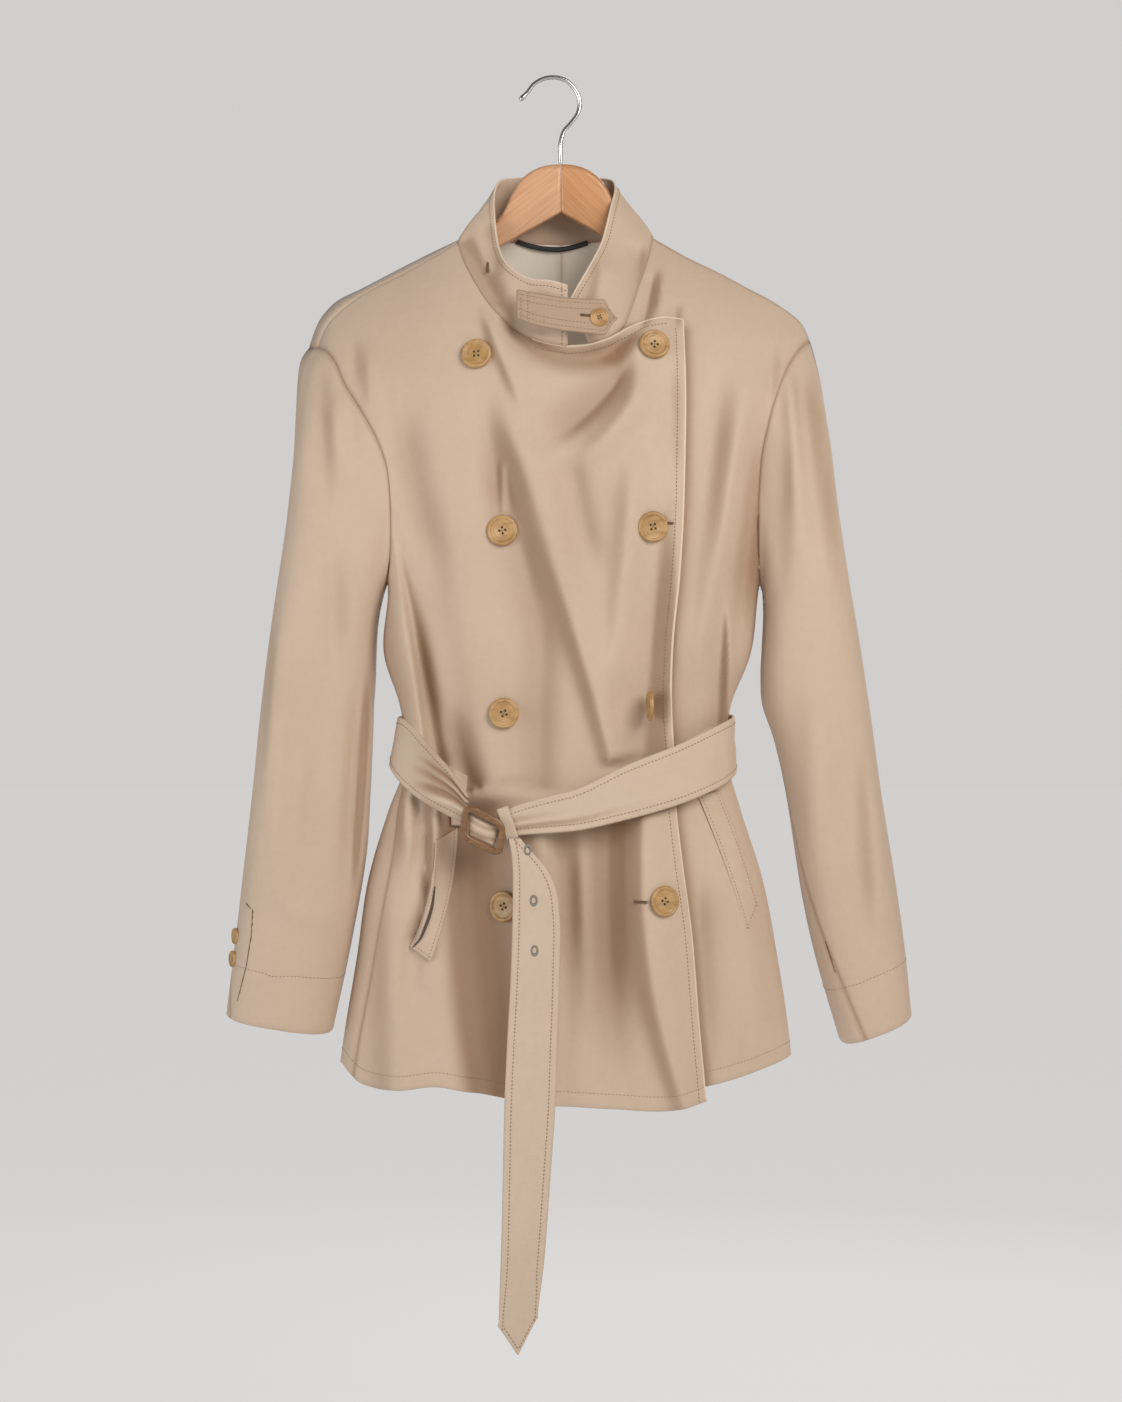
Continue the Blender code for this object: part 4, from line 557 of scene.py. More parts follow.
def back_right_grid():
    """As the left one, with one more row that rolls over the shoulder to its seam in front."""
    on_front = slice(0, COLUMNS_SHOULDER + 1)
    neck = path(BACK_NECK_RIGHT, COLUMNS_NECK_BACK + 1)
    seam = joined(path(SHOULDER_RIGHT, COLUMNS_SHOULDER + 1), neck)
    below = neck + (UNDERARM - neck) * [0.0, 1 - ROLL_START]
    crest = joined(path(CREST_RIGHT, COLUMNS_SHOULDER + 1), below)
    arm = path(ARM_BACK_RIGHT, ROWS_CHEST)
    middle = edge_line(lambda drop: CENTRE_X + 0 * drop, crest[-1], ROWS_CHEST - 1)
    grid = panel(seam_turn("right_side"), centre_back_turn(-pi), HEM_BACK,
                 crest, arm, middle, 1, lambda x: 0 * x)
    seam_y = skin(seam[:, 0], seam[:, 1], np.ones(len(seam)))
    seam_y[on_front] = skin(seam[:, 0], seam[:, 1], -np.ones(len(seam)))[on_front]
    last = stack(seam[:, 0], seam_y, seam[:, 1])
    return np.concatenate([grid, last[None]])[:, ::-1]


grids["back_right"], grids["back_left"] = back_right_grid(), back_left_grid()
print("backs", grids["back_right"].shape, grids["back_left"].shape)

# %% [markdown]
# ## Sleeves
# Each sleeve is a leaning tube of rings whose first ring is the armhole itself. Two seams divide
# it into a top and an under piece, as in a tailored two-piece sleeve. A plain tube set beside the
# armhole would leave a step there.

# %% Rings of the sleeves
SLEEVE_COLUMNS = "outer_x outer_drop inner_x inner_drop front back back_seam front_seam"
SLEEVES = {
    "right": table(SLEEVE_COLUMNS, [
        (-199.5, 228, -139, 430, -60, 30, -30, 180),
        (-209, 246, -143, 441, -61, 30, -28, 182),
        (-215, 288, -146, 454, -62, 29, -26, 186),
        (-219.5, 334, -148, 468, -63, 28, -24, 190),
        (-225.5, 386, -149, 486, -63, 27, -22, 190),
        (-233, 436, -149.5, 508, -63, 26, -20, 190),
        (-240.5, 490, -151, 532, -63, 25, -18, 190),
        (-247, 545, -152, 562, -62, 24, -16, 190),
        (-253, 605, -154, 607, -62, 22, -14, 190),
        (-261.5, 680, -157.5, 660, -62, 20, -10, 190),
        (-268, 736, -170, 732, -62, 18, 2, 190),
        (-274.5, 789, -185, 803, -60, 14, 30, 190),
    ]),
    "left": table(SLEEVE_COLUMNS, [
        (219, 221.7, 174, 430, -60, 30, -30, 180),
        (225.5, 250, 177.5, 441, -61, 30, -30, 180),
        (230.5, 284, 178.2, 454, -62, 29, -32, 180),
        (235, 326, 177.5, 468, -63, 28, -34, 182),
        (240.5, 372, 176.5, 486, -64, 28, -36, 184),
        (248, 420, 175.5, 506, -65, 27, -38, 185),
        (258, 478, 177, 532, -66, 27, -40, 185),
        (268, 545, 187, 562, -66, 26, -42, 185),
        (276, 605, 197, 607, -66, 25, -44, 178),
        (287.5, 676, 210, 690, -65, 24, -46, 150),
        (296, 736, 222, 745, -63, 22, -48, 128),
        (301.5, 789, 241.5, 812, -60, 20, -50, 106),
    ]),
}
SLEEVE_SQUARE = 2.7
ROWS_SLEEVE = 16 * FINE
TOP_SLEEVE_COLUMNS = 13 * FINE
BACK_SEAM_COLUMNS = 2 * FINE  # columns from the shoulder back to the back seam
BLEND_RINGS = 3.0  # rings over which the armhole's bowed line turns into plain rings
CUFF_DIP = 5.0  # the cuff's front edge hangs lower than its back
print("cuffs", [round(rows["outer_x"][-1] - rows["inner_x"][-1], 1) for rows in SLEEVES.values()])


# %% Sleeve grid
def sleeve_grid(side, loop):
    """A sleeve as a closed grid: rows from the armhole down, columns round from the back seam."""
    rows = SLEEVES[side]
    rings = len(rows["outer_x"])
    count = len(loop)
    at = np.linspace(0, rings - 1, ROWS_SLEEVE + 1)[:, None]
    knots = np.arange(rings)
    ring = {name: smooth(knots, column, at) for name, column in rows.items()}
    top = np.linspace(0, 1, TOP_SLEEVE_COLUMNS + 1)[None, :-1]
    under = np.linspace(0, 1, count - TOP_SLEEVE_COLUMNS + 1)[None, :-1]
    angle_top = ring["back_seam"] + (ring["front_seam"] - ring["back_seam"]) * top
    angle_under = ring["front_seam"] + (ring["back_seam"] + 360 - ring["front_seam"]) * under
    angle = np.radians(np.concatenate([angle_top, angle_under], axis=1))
    across = bent(np.cos(angle), 2 / SLEEVE_SQUARE)
    deep = bent(np.sin(angle), 2 / SLEEVE_SQUARE)
    x = (ring["outer_x"] + ring["inner_x"]) / 2 + (ring["outer_x"] - ring["inner_x"]) / 2 * across
    y = (ring["front"] + ring["back"]) / 2 - (ring["back"] - ring["front"]) / 2 * deep
    drop = (ring["outer_drop"] + ring["inner_drop"]) / 2
    drop = drop + (ring["outer_drop"] - ring["inner_drop"]) / 2 * across
    drop = drop + CUFF_DIP * (at / (rings - 1)) ** 6 * np.clip(deep, 0, 1)
    grid = stack(x, y, drop)
    start = np.roll(loop, BACK_SEAM_COLUMNS, axis=0)
    held = (1 - step(at / BLEND_RINGS))[..., None]
    return grid + (start - grid[0])[None] * held


ARMHOLE_GAP = 0.3
ARM_COLUMN = {"front_right": 0, "front_left": -1, "back_right": -1, "back_left": 0}
BESIDE_ARM = {"front_right": 1, "front_left": -2, "back_right": -2, "back_left": 1}


def armhole_loop(side):
    """The closed armhole seam from the shoulder, down the front, round the underarm and up the
    back, drawn out by the gap that a seam leaves."""
    edges = []
    for name in ("front_" + side, "back_" + side):
        edge, beside = ARM_COLUMN[name], BESIDE_ARM[name]
        line = grids[name][ROWS_SKIRT:, edge]
        edges.append(line + unit(line - grids[name][ROWS_SKIRT:, beside]) * ARMHOLE_GAP)
    front, back = edges
    return np.concatenate([front[::-1], back[1:-1]])


sleeves = {side: sleeve_grid(side, armhole_loop(side)) for side in ("right", "left")}
print({side: grid.shape[:2] for side, grid in sleeves.items()})

# %% [markdown]
# ## Collar
# The stand collar is one band from the neckline up to its rim. Its front ends lean back and one
# hides the other, so the rim is a table of places in space, and the band is drawn between the two
# lines and bowed out a little, as pressed cloth keeps its roll.

# %% Collar grid
# Top rim, by station along the neckline: 0 is the right front end, 8 and 16 the shoulders.
COLLAR_RIM = table("station x y drop", [
    (0, 11.8, -66, 184.2), (1.5, -2.3, -63, 179.8), (2.8, -18.1, -57, 177.6), (4, -32.4, -48, 169),
    (5.2, -41.7, -37, 157.5), (6, -46.1, -27, 145.2), (7.2, -49.5, -11, 118), (8, -50, 2, 100),
    (9, -45, 16, 84), (10, -32, 24, 80), (12, 6.8, 28, 79), (14, 38, 24, 80), (15, 50, 15, 84),
    (16, 52.4, 2, 95), (16.8, 49.6, -11, 108), (18.2, 42.2, -27, 139.4), (19.8, 32.7, -43, 161.2),
    (21.8, 20.1, -57, 184.3), (24, 13, -62, 198),
])
ROWS_COLLAR = 24
COLLAR_BOW = 2.5
NECK_MIDDLE_Y = -20.0  # depth of the middle of the neck


def collar_grid(base):
    """The stand collar from the neckline up to its rim, bowed out a little between them."""
    station = np.arange(len(base)) / FINE
    rim = stack(*[smooth(COLLAR_RIM["station"], COLLAR_RIM[name], station)
                  for name in "x y drop".split()])
    level = np.linspace(0, 1, ROWS_COLLAR + 1)[:, None, None]
    out = unit(stack(base[:, 0] - CENTRE_X, base[:, 1] - NECK_MIDDLE_Y, 0 * station))
    band = base[None] * (1 - level) + rim[None] * level
    return band + COLLAR_BOW * out[None] * np.sin(pi * level)


def neckline():
    """Seam of the collar, from the right front end round the back to the left front end."""
    front = slice(COLUMNS_SHOULDER, COLUMNS_SHOULDER + COLUMNS_NECK_FRONT + 1)
    under = slice(COLUMNS_UNDER_LAP, COLUMNS_UNDER_LAP + COLUMNS_NECK_FRONT + 1)
    return joined(
        grids["front_right"][-1, front][::-1],
        grids["back_right"][-1, :COLUMNS_NECK_BACK + 1][::-1],
        grids["back_left"][-1, -COLUMNS_NECK_BACK - 1:][::-1],
        grids["front_left"][-1, under][::-1],
    )


print(len(neckline()), "points round the neck")

# %% [markdown]
# ## Cloth as a thin wall
# Each piece is a fine grid of outside points. The inside is the same grid moved in by the cloth's
# thickness, and a rounded rim joins them, as where an edge is turned and pressed. The texture
# coordinates are real distances along and across the piece, so that the weave keeps its size.

# %% Directions and edges
CLOTH = 1.2  # thickness in millimetres


def inward_normals(grid, closed=False):
    """Unit directions into the cloth: the cross product of the grid's two tangents."""
    down_row = np.gradient(grid, axis=0)
    if closed:
        along = (np.roll(grid, -1, axis=1) - np.roll(grid, 1, axis=1)) / 2
    else:
        along = np.gradient(grid, axis=1)
    return unit(np.cross(along, down_row))


def trimmed(grid, bottom=0.0, top=0.0, start=0.0, end=0.0):
    """The grid with its edges drawn in along its own lines, to leave the gap of a seam."""
    grid = grid.copy()
    for amount, edge, inner in ((bottom, 0, 1), (top, -1, -2)):
        grid[edge] += unit(grid[inner] - grid[edge]) * amount
    for amount, edge, inner in ((start, 0, 1), (end, -1, -2)):
        grid[:, edge] += unit(grid[:, inner] - grid[:, edge]) * amount
    return grid


print("cloth", CLOTH, "mm thick")


# %% Mesh from arrays
def finished(name, points, faces, look, uv=None, mark=None, lining=None, lined=None):
    """A named object from (x, y, drop) points in millimetres and an array of four-sided faces. The
    faces numbered in lined get the second look."""
    points = np.asarray(points, float).reshape(-1, 3)
    world = stack(points[:, 0], points[:, 1], -points[:, 2]) * MM
    faces = np.asarray(faces, np.int32)
    mesh = bpy.data.meshes.new(name)
    mesh.vertices.add(len(world))
    mesh.vertices.foreach_set("co", world.astype(np.float32).ravel())
    mesh.loops.add(faces.size)
    mesh.loops.foreach_set("vertex_index", faces.ravel())
    mesh.polygons.add(len(faces))
    starts = np.arange(0, faces.size, faces.shape[1], dtype=np.int32)
    mesh.polygons.foreach_set("loop_start", starts)
    mesh.polygons.foreach_set("use_smooth", np.ones(len(faces), bool))
    if uv is not None:
        layer = mesh.uv_layers.new(name="cloth")
        corners = (uv.reshape(-1, 2) * MM)[faces.ravel()]
        layer.data.foreach_set("uv", corners.astype(np.float32).ravel())
    if mark is not None:
        layer = mesh.attributes.new("mark", "FLOAT", "POINT")
        layer.data.foreach_set("value", mark.astype(np.float32).ravel())
    mesh.materials.append(look)
    if lining is not None:
        mesh.materials.append(lining)
        second = np.isin(np.arange(len(faces)), lined)
        mesh.polygons.foreach_set("material_index", second.astype(np.int32))
    mesh.update(calc_edges=True)
    mesh.validate()
    thing = bpy.data.objects.new(name, mesh)
    bpy.context.collection.objects.link(thing)
    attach(thing, "root")
    return thing


def cells(rows, columns, wrap):
    """Corner numbers of every cell of a grid, as an array, with a last column joined to the first
    where it wraps."""
    across = np.arange(columns if wrap else columns - 1)
    r, c = np.meshgrid(np.arange(rows - 1), across, indexing="ij")
    here, below, d = r * columns, (r + 1) * columns, (c + 1) % columns
    return stack(here + c, here + d, below + d, below + c).reshape(-1, 4)


print(len(cells(4, 5, False)), "cells in a grid of four rows and five columns")


# %% Cloth wall
def cloth(name, grid, thickness, look, inward=None, closed=False, lining=None, deep=None):
    """Outside grid, inside grid and a half-round rim between them along every free edge. The deep
    share of each point, from 0 to 1, is painted shade: how far the colour is darkened there for
    shade in a fold, beside a seam or under an edge."""
    if inward is None:
        inward = inward_normals(grid, closed)
    rows, columns = grid.shape[:2]
    inside = grid + inward * thickness
    number = np.arange(rows * columns).reshape(rows, columns)
    outward = np.zeros(grid.shape)
    outward[0] += unit(grid[0] - grid[1])
    outward[-1] += unit(grid[-1] - grid[-2])
    if closed:
        rings = [number[0], number[-1, ::-1]]
    else:
        outward[:, 0] += unit(grid[:, 0] - grid[:, 1])
        outward[:, -1] += unit(grid[:, -1] - grid[:, -2])
        rings = [np.concatenate([number[0], number[1:, -1], number[-1, -2::-1],
                                 number[-2:0:-1, 0]])]
    outer = cells(rows, columns, closed)
    offset = rows * columns
    faces = [outer, outer[:, ::-1] + offset]
    points = [grid.reshape(-1, 3), inside.reshape(-1, 3)]
    uv = stack(run_along(grid, axis=1), run_along(grid)).reshape(-1, 2)
    uvs = [uv, uv]
    deep = np.zeros(offset) if deep is None else deep.ravel()
    painted_shades = [deep, deep]
    count = 2 * offset
    for ring in rings:
        middle = (points[0][ring] + points[1][ring]) / 2
        middle = middle + unit(outward.reshape(-1, 3)[ring]) * thickness * 0.5
        mid = count + np.arange(len(ring))
        after, mid_after = np.roll(ring, -1), np.roll(mid, -1)
        faces.append(stack(after, ring, mid, mid_after))
        faces.append(stack(mid_after, mid, ring + offset, after + offset))
        points.append(middle)
        uvs.append(uv[ring])
        painted_shades.append(deep[ring])
        count += len(ring)
    lined = np.arange(len(outer), 2 * len(outer))
    return finished(name, np.concatenate(points), np.concatenate(faces), look, np.concatenate(uvs),
                    np.concatenate(painted_shades), lining, lined)


# %% Closed solids
def solid_rings(name, rings, look, mark=None):
    """A closed solid from a stack of rings, each (sides, 3), whose first and last ring are drawn to
    a point."""
    rings = np.asarray(rings, float)
    ends = rings[[0, -1]].mean(axis=1, keepdims=True) + 0 * rings[[0, -1]]
    rings = np.concatenate([ends[:1], rings, ends[1:]])
    faces = cells(*rings.shape[:2], wrap=True)
    if mark is not None:
        mark = np.concatenate([mark[:1], mark, mark[-1:]])
    return finished(name, rings, faces[:, ::-1], look, mark=mark)


def bar(name, line, radius, sides, look, flat=1.0, facing=(0.0, 1.0, 0.0)):
    """Rings of a round or flattened bar along a line."""
    ahead = unit(np.gradient(line, axis=0))
    beside = unit(np.cross(ahead, facing))
    deep = np.cross(beside, ahead)
    angle = circle(sides)[None, :, None]
    size = np.broadcast_to(radius, len(line))[:, None, None]
    ring = np.cos(angle) * beside[:, None] + flat * np.sin(angle) * deep[:, None]
    return solid_rings(name, line[:, None] + size * ring, look)


# %% [markdown]
# ## Stitches
# A row of stitches is a line of points with the outward direction at each. Every stitch is a small
# spindle laid along it with its ends pulled into the cloth. All of them are one piece.

# %% Stitch tools
PITCH, LENGTH, THREAD = 3.1, 2.2, 0.34  # of an edge stitch, and its radius
FINE_THREAD = 0.22
SPINDLE_SIDES = 6
SPINDLE = table("along radius rise", [
    (-0.5, 0.35, -0.25), (-0.32, 0.9, 0.12), (0, 1, 0.2), (0.32, 0.9, 0.12), (0.5, 0.35, -0.25),
])
thread_rows = []


def inset_line(grid, outward, edge, inset):
    """Points and outward directions at a distance in from one edge of a grid, row by row."""
    both = np.concatenate([grid, outward], axis=-1)
    if edge in ("bottom", "top"):
        both = both.swapaxes(0, 1)
    if edge in ("end", "top"):
        both = both[:, ::-1]
    run = run_along(both[..., :3], axis=1)
    at = np.clip((run < inset).sum(axis=1) - 1, 0, both.shape[1] - 2)
    rows = np.arange(len(both))
    share = ((inset - run[rows, at]) / (run[rows, at + 1] - run[rows, at]))[:, None]
    return both[rows, at] * (1 - share) + both[rows, at + 1] * share


def sew(line, start=0.0, end=1.0, pitch=PITCH, length=LENGTH, radius=THREAD):
    """Lays stitches along a line of (point, outward direction) rows, between two shares of its
    length. A stitch is five rings round its line, drawn in and sunk at both ends."""
    run = run_along(line[:, :3])
    keep = np.r_[True, np.diff(run) > 1e-9]
    line, run = line[keep], run[keep]
    centre = np.arange(run[-1] * start + pitch / 2, run[-1] * end, pitch)
    where = centre[:, None] + SPINDLE["along"][None] * length
    place = stack(*[np.interp(where, run, line[:, k]) for k in range(3)])
    out = unit(stack(*[np.interp(where, run, line[:, 3 + k]) for k in range(3)]))
    ahead = unit(place[:, -1:] - place[:, :1])
    beside = np.cross(ahead, out)
    size = radius * SPINDLE["radius"][None, :, None, None]
    angle = circle(SPINDLE_SIDES)[None, None, :, None]
    ring = np.cos(angle) * out[:, :, None] + np.sin(angle) * beside[:, :, None]
    thread_rows.append((place + out * SPINDLE["rise"][None, :, None])[:, :, None] + size * ring)


def sew_edges(grid, outward, edges, inset, **how):
    """Rows of stitches inside some edges of a grid."""
    for edge in edges.split():
        sew(inset_line(grid, outward, edge, inset), **how)


def sew_between(a, b, outward, **how):
    """One straight row of stitches from a to b."""
    t = np.linspace(0, 1, 40)[:, None]
    a, b = np.asarray(a, float), np.asarray(b, float)
    sew(np.concatenate([a * (1 - t) + b * t, np.tile(outward, (40, 1))], axis=1), **how)


print("a stitch each", PITCH, "mm")

# %% [markdown]
# ## Weave and cloth
# The coat is a dense cotton gabardine with a soft sheen. Its twill lies in one node group that
# each cloth takes with its own strength: fine slanted ribs for the bump, and a slight mottling of
# the dye for the colour. The ribs follow the cloth's own coordinates, so they keep their size and
# turn with each piece. A picture of cloth would stretch over the folds.

# %% Node helpers
MIX_A, MIX_B, MIX_OUT = 6, 7, 2  # a colour Mix node's sockets, which its other kinds name too


def node(tree, kind, **values):
    """A new node with values given to its sockets, or else to its settings."""
    made = tree.nodes.new(kind)
    for key, value in values.items():
        if key in made.inputs.keys():
            made.inputs[key].default_value = value
        else:
            setattr(made, key, value)
    return made


def link(tree, *joins):
    """Joins outputs to inputs: each join is a node, its output, another node and its input."""
    for a, out, b, into in joins:
        tree.links.new(a.outputs[out], b.inputs[into])


def plain(name, colour, roughness, metallic=0.0, **sockets):
    """A material of one colour, with more sockets of its shader by name."""
    made = bpy.data.materials.new(name)
    made.use_nodes = True
    shader = made.node_tree.nodes["Principled BSDF"]
    shader.inputs["Base Color"].default_value = (*colour, 1.0)
    shader.inputs["Roughness"].default_value = roughness
    shader.inputs["Metallic"].default_value = metallic
    for key, value in sockets.items():
        shader.inputs[key.replace("_", " ")].default_value = value
    return made


def two_tones(tree, dark, light, low):
    """A ramp from the dark tone at a low value to the light one as far from the other end."""
    ramp = node(tree, "ShaderNodeValToRGB")
    for stop, at, colour in zip(ramp.color_ramp.elements, (low, 1.0 - low), (dark, light)):
        stop.position = at
        stop.color = (*colour, 1.0)
    return ramp


# %% Weave group
RIB_SLANT = 0.95  # radians
RIB_SIZE = (0.0048, 0.0011, 1.0)  # metres along and across a rib
RIB_HEIGHT = 0.0004
weave = bpy.data.node_groups.new("twill", "ShaderNodeTree")
strength = weave.interface.new_socket("Strength", in_out="INPUT", socket_type="NodeSocketFloat")
strength.default_value = 0.3
weave.interface.new_socket("Tone", in_out="OUTPUT", socket_type="NodeSocketFloat")
weave.interface.new_socket("Normal", in_out="OUTPUT", socket_type="NodeSocketVector")
given = node(weave, "NodeGroupInput")
result = node(weave, "NodeGroupOutput")
place = node(weave, "ShaderNodeUVMap", uv_map="cloth")
slant = node(weave, "ShaderNodeMapping", vector_type="TEXTURE", Rotation=(0.0, 0.0, RIB_SLANT),
             Scale=RIB_SIZE)
rib = node(weave, "ShaderNodeTexNoise", Scale=1.0, Detail=2.0, Roughness=0.6)
body = node(weave, "ShaderNodeTexCoord")
mottle = node(weave, "ShaderNodeTexNoise", Scale=9.0, Detail=3.0, Roughness=0.5)
slub = node(weave, "ShaderNodeTexNoise", Scale=160.0, Detail=2.0, Roughness=0.6)
blend = node(weave, "ShaderNodeMix", data_type="FLOAT", Factor=0.35)
raised = node(weave, "ShaderNodeBump", Distance=RIB_HEIGHT)
link(weave, (place, "UV", slant, "Vector"), (slant, "Vector", rib, "Vector"),
     (body, "Object", mottle, "Vector"), (body, "Object", slub, "Vector"), (mottle, 0, blend, 2),
     (slub, 0, blend, 3), (rib, 0, raised, "Height"), (given, "Strength", raised, "Strength"),
     (blend, 0, result, "Tone"), (raised, "Normal", result, "Normal"))
print(len(weave.nodes), "nodes in", weave.name)

# %% Cloth materials
PAINTED_SHADE_TINT = (0.55, 0.43, 0.34)  # painted shade, multiplied into the dye in folds, by seams and under edges; warm, as light thrown between the walls of a fold turns warmer


def cloth_material(name, dark, light, strength=0.3, roughness=0.62):
    """Dye between two tones from the weave group, darkened towards the tint of painted shade by the
    painted shade attribute, and its bump.
    """
    made = plain(name, light, roughness, Sheen_Weight=0.12, Sheen_Roughness=0.45,
                 Specular_IOR_Level=0.3)
    tree = made.node_tree
    group = node(tree, "ShaderNodeGroup", node_tree=weave, Strength=strength)
    ramp = two_tones(tree, dark, light, 0.3)
    deep = node(tree, "ShaderNodeAttribute", attribute_name="mark")
    shaded = node(tree, "ShaderNodeMix", data_type="RGBA", blend_type="MULTIPLY")
    shaded.inputs[MIX_B].default_value = (*PAINTED_SHADE_TINT, 1.0)
    shader = tree.nodes["Principled BSDF"]
    link(tree, (group, "Tone", ramp, 0), (deep, "Fac", shaded, 0), (ramp, 0, shaded, MIX_A),
         (shaded, MIX_OUT, shader, "Base Color"), (group, "Normal", shader, "Normal"))
    return made


coat = cloth_material("gabardine", (0.530, 0.392, 0.286), (0.582, 0.438, 0.325))
coat_pale = cloth_material("gabardine_pressed", (0.550, 0.420, 0.312), (0.605, 0.470, 0.355))
# The pressed edges' rolls are paler than the cloth: a painted highlight where a pressed edge
# catches the light.
painted_edge_highlight = plain("pressed_edge", (0.68, 0.545, 0.415), 0.5)
lining = cloth_material("lining", (0.60, 0.54, 0.46), (0.66, 0.60, 0.52), strength=0.1,
                        roughness=0.5)
lining_painted_light = lining.node_tree.nodes["Principled BSDF"]  # painted light: the lining glows a little, to stand in for the light that a thin lining lets through
lining_painted_light.inputs["Emission Color"].default_value = (0.63, 0.56, 0.47, 1.0)
lining_painted_light.inputs["Emission Strength"].default_value = 0.13
# The stitch thread is real, and its dark brown is painted shade along the stitch rows.
thread = plain("thread", (0.27, 0.175, 0.10), 0.7)
# Buttonhole thread, which also paints the shade in the slits of the buttonholes and the cuff
# openings.
thread_and_slit_shade = plain("buttonhole_thread", (0.16, 0.09, 0.045), 0.7)
# The pocket's dark inside is painted shade in its open mouth.
pocket_painted_shade = plain("pocket_inside", (0.085, 0.06, 0.042), 0.8)
tape = plain("loop_tape", (0.012, 0.012, 0.014), 0.35, Coat_Weight=0.3)
print("cloth materials", coat.name, coat_pale.name, lining.name)

# %% [markdown]
# ## Horn, wood and steel
# The buttons and the buckle are cloudy, horn-like resin: noise stretched along one way mixes two
# browns. The hanger is satin-lacquered beech with straight grain, which runs along each half, and
# its hook is bare steel. All patterns are worked out in space, so they run through a piece as real
# cloud and grain do.

# %% Horn, wood and steel
steel = plain("hook_steel", (0.60, 0.59, 0.57), 0.22, 1.0)
# Painted shade in the holes of the buttons and the eyelets.
HOLE_SHADE = (0.02, 0.012, 0.006)


def horn_material(name, dark, light, roughness):
    """Cloudy resin: noise stretched along one way mixes two browns, and painted shade darkens the
    holes.
    """
    made = plain(name, light, roughness, Coat_Weight=0.2, Coat_Roughness=0.3)
    tree = made.node_tree
    body = node(tree, "ShaderNodeTexCoord")
    stretch = node(tree, "ShaderNodeMapping", Scale=(60.0, 60.0, 130.0), Rotation=(0.3, 0.5, 0.4))
    cloud = node(tree, "ShaderNodeTexNoise", Scale=1.0, Detail=3.0, Distortion=1.2)
    ramp = two_tones(tree, dark, light, 0.35)
    hole = node(tree, "ShaderNodeAttribute", attribute_name="mark")
    final = node(tree, "ShaderNodeMix", data_type="RGBA")
    final.inputs[MIX_B].default_value = (*HOLE_SHADE, 1.0)
    link(tree, (body, "Object", stretch, "Vector"), (stretch, "Vector", cloud, "Vector"),
         (cloud, 0, ramp, 0), (hole, "Fac", final, 0), (ramp, 0, final, MIX_A),
         (final, MIX_OUT, tree.nodes["Principled BSDF"], "Base Color"))
    return made


def wood_material(name, dark, light, turn):
    """Straight beech grain: noise drawn out along the slanted board, bent a little by itself."""
    made = plain(name, light, 0.38, Coat_Weight=0.3, Coat_Roughness=0.25)
    tree = made.node_tree
    body = node(tree, "ShaderNodeTexCoord")
    slant = node(tree, "ShaderNodeMapping", vector_type="TEXTURE", Rotation=(0.0, turn, 0.0),
                 Scale=(0.06, 0.006, 0.0022))
    grain = node(tree, "ShaderNodeTexNoise", Scale=1.0, Detail=4.0, Roughness=0.6, Distortion=0.4)
    ramp = two_tones(tree, dark, light, 0.3)
    link(tree, (body, "Object", slant, "Vector"), (slant, "Vector", grain, "Vector"),
         (grain, 0, ramp, 0), (ramp, 0, tree.nodes["Principled BSDF"], "Base Color"))
    return made


horn = horn_material("button_horn", (0.36, 0.195, 0.065), (0.50, 0.30, 0.12), 0.42)
eyelet_thread = horn_material("eyelet_thread", (0.20, 0.17, 0.14), (0.26, 0.23, 0.19), 0.6)
brown = horn_material("buckle_brown", (0.155, 0.068, 0.025), (0.255, 0.127, 0.050), 0.35)
pale_wood = wood_material("pale_beech", (0.54, 0.275, 0.14), (0.67, 0.38, 0.215), -0.66)
warm_wood = wood_material("warm_beech", (0.46, 0.20, 0.08), (0.60, 0.30, 0.13), 0.75)
print("hard materials", horn.name, brown.name, pale_wood.name, warm_wood.name, steel.name)

# %% [markdown]
# ## Body panels and sleeves
# Neighbouring pieces share their direction into the cloth along each seam, so that their walls
# meet cleanly, and each edge sinks a little next to its seam, as a pressed seam does.

# %% Shared seam directions
SEAM_GAP = 0.32  # between neighbouring pieces, half from each
half_gap = SEAM_GAP / 2
SEWN_SIDES = {
    "front_right": dict(start=half_gap), "front_left": dict(end=half_gap),
    "back_right": dict(start=half_gap, end=half_gap),
    "back_left": dict(start=half_gap, end=half_gap),
}
at_start, at_end = slice(0, COLUMNS_SHOULDER + 1), slice(-COLUMNS_SHOULDER - 1, None)
SHOULDER_COLUMNS = {
    "front_right": at_start, "back_left": at_start, "front_left": at_end, "back_right": at_end,
}
TOGETHER_SLOPE, TOGETHER_FROM = 1.3, 0.3  # how soon two directions count as folded apart
hand = {"right": -1.0, "left": 1.0}  # the right sleeve's grid runs the other way round
inward = {name: inward_normals(grid) for name, grid in grids.items()}
sleeve_inward = {side: hand[side] * inward_normals(grid, closed=True)
                 for side, grid in sleeves.items()}


def shared(one, other):
    """The middle direction of two, for both."""
    both = unit(one + other)
    return both, both


def shared_unless_folded(one, other):
    """As shared, but less so where the two pieces lie folded against each other."""
    alike = np.sum(one * other, axis=-1, keepdims=True)
    together = step(TOGETHER_SLOPE * alike + TOGETHER_FROM)
    return unit(one + together * other), unit(other + together * one)


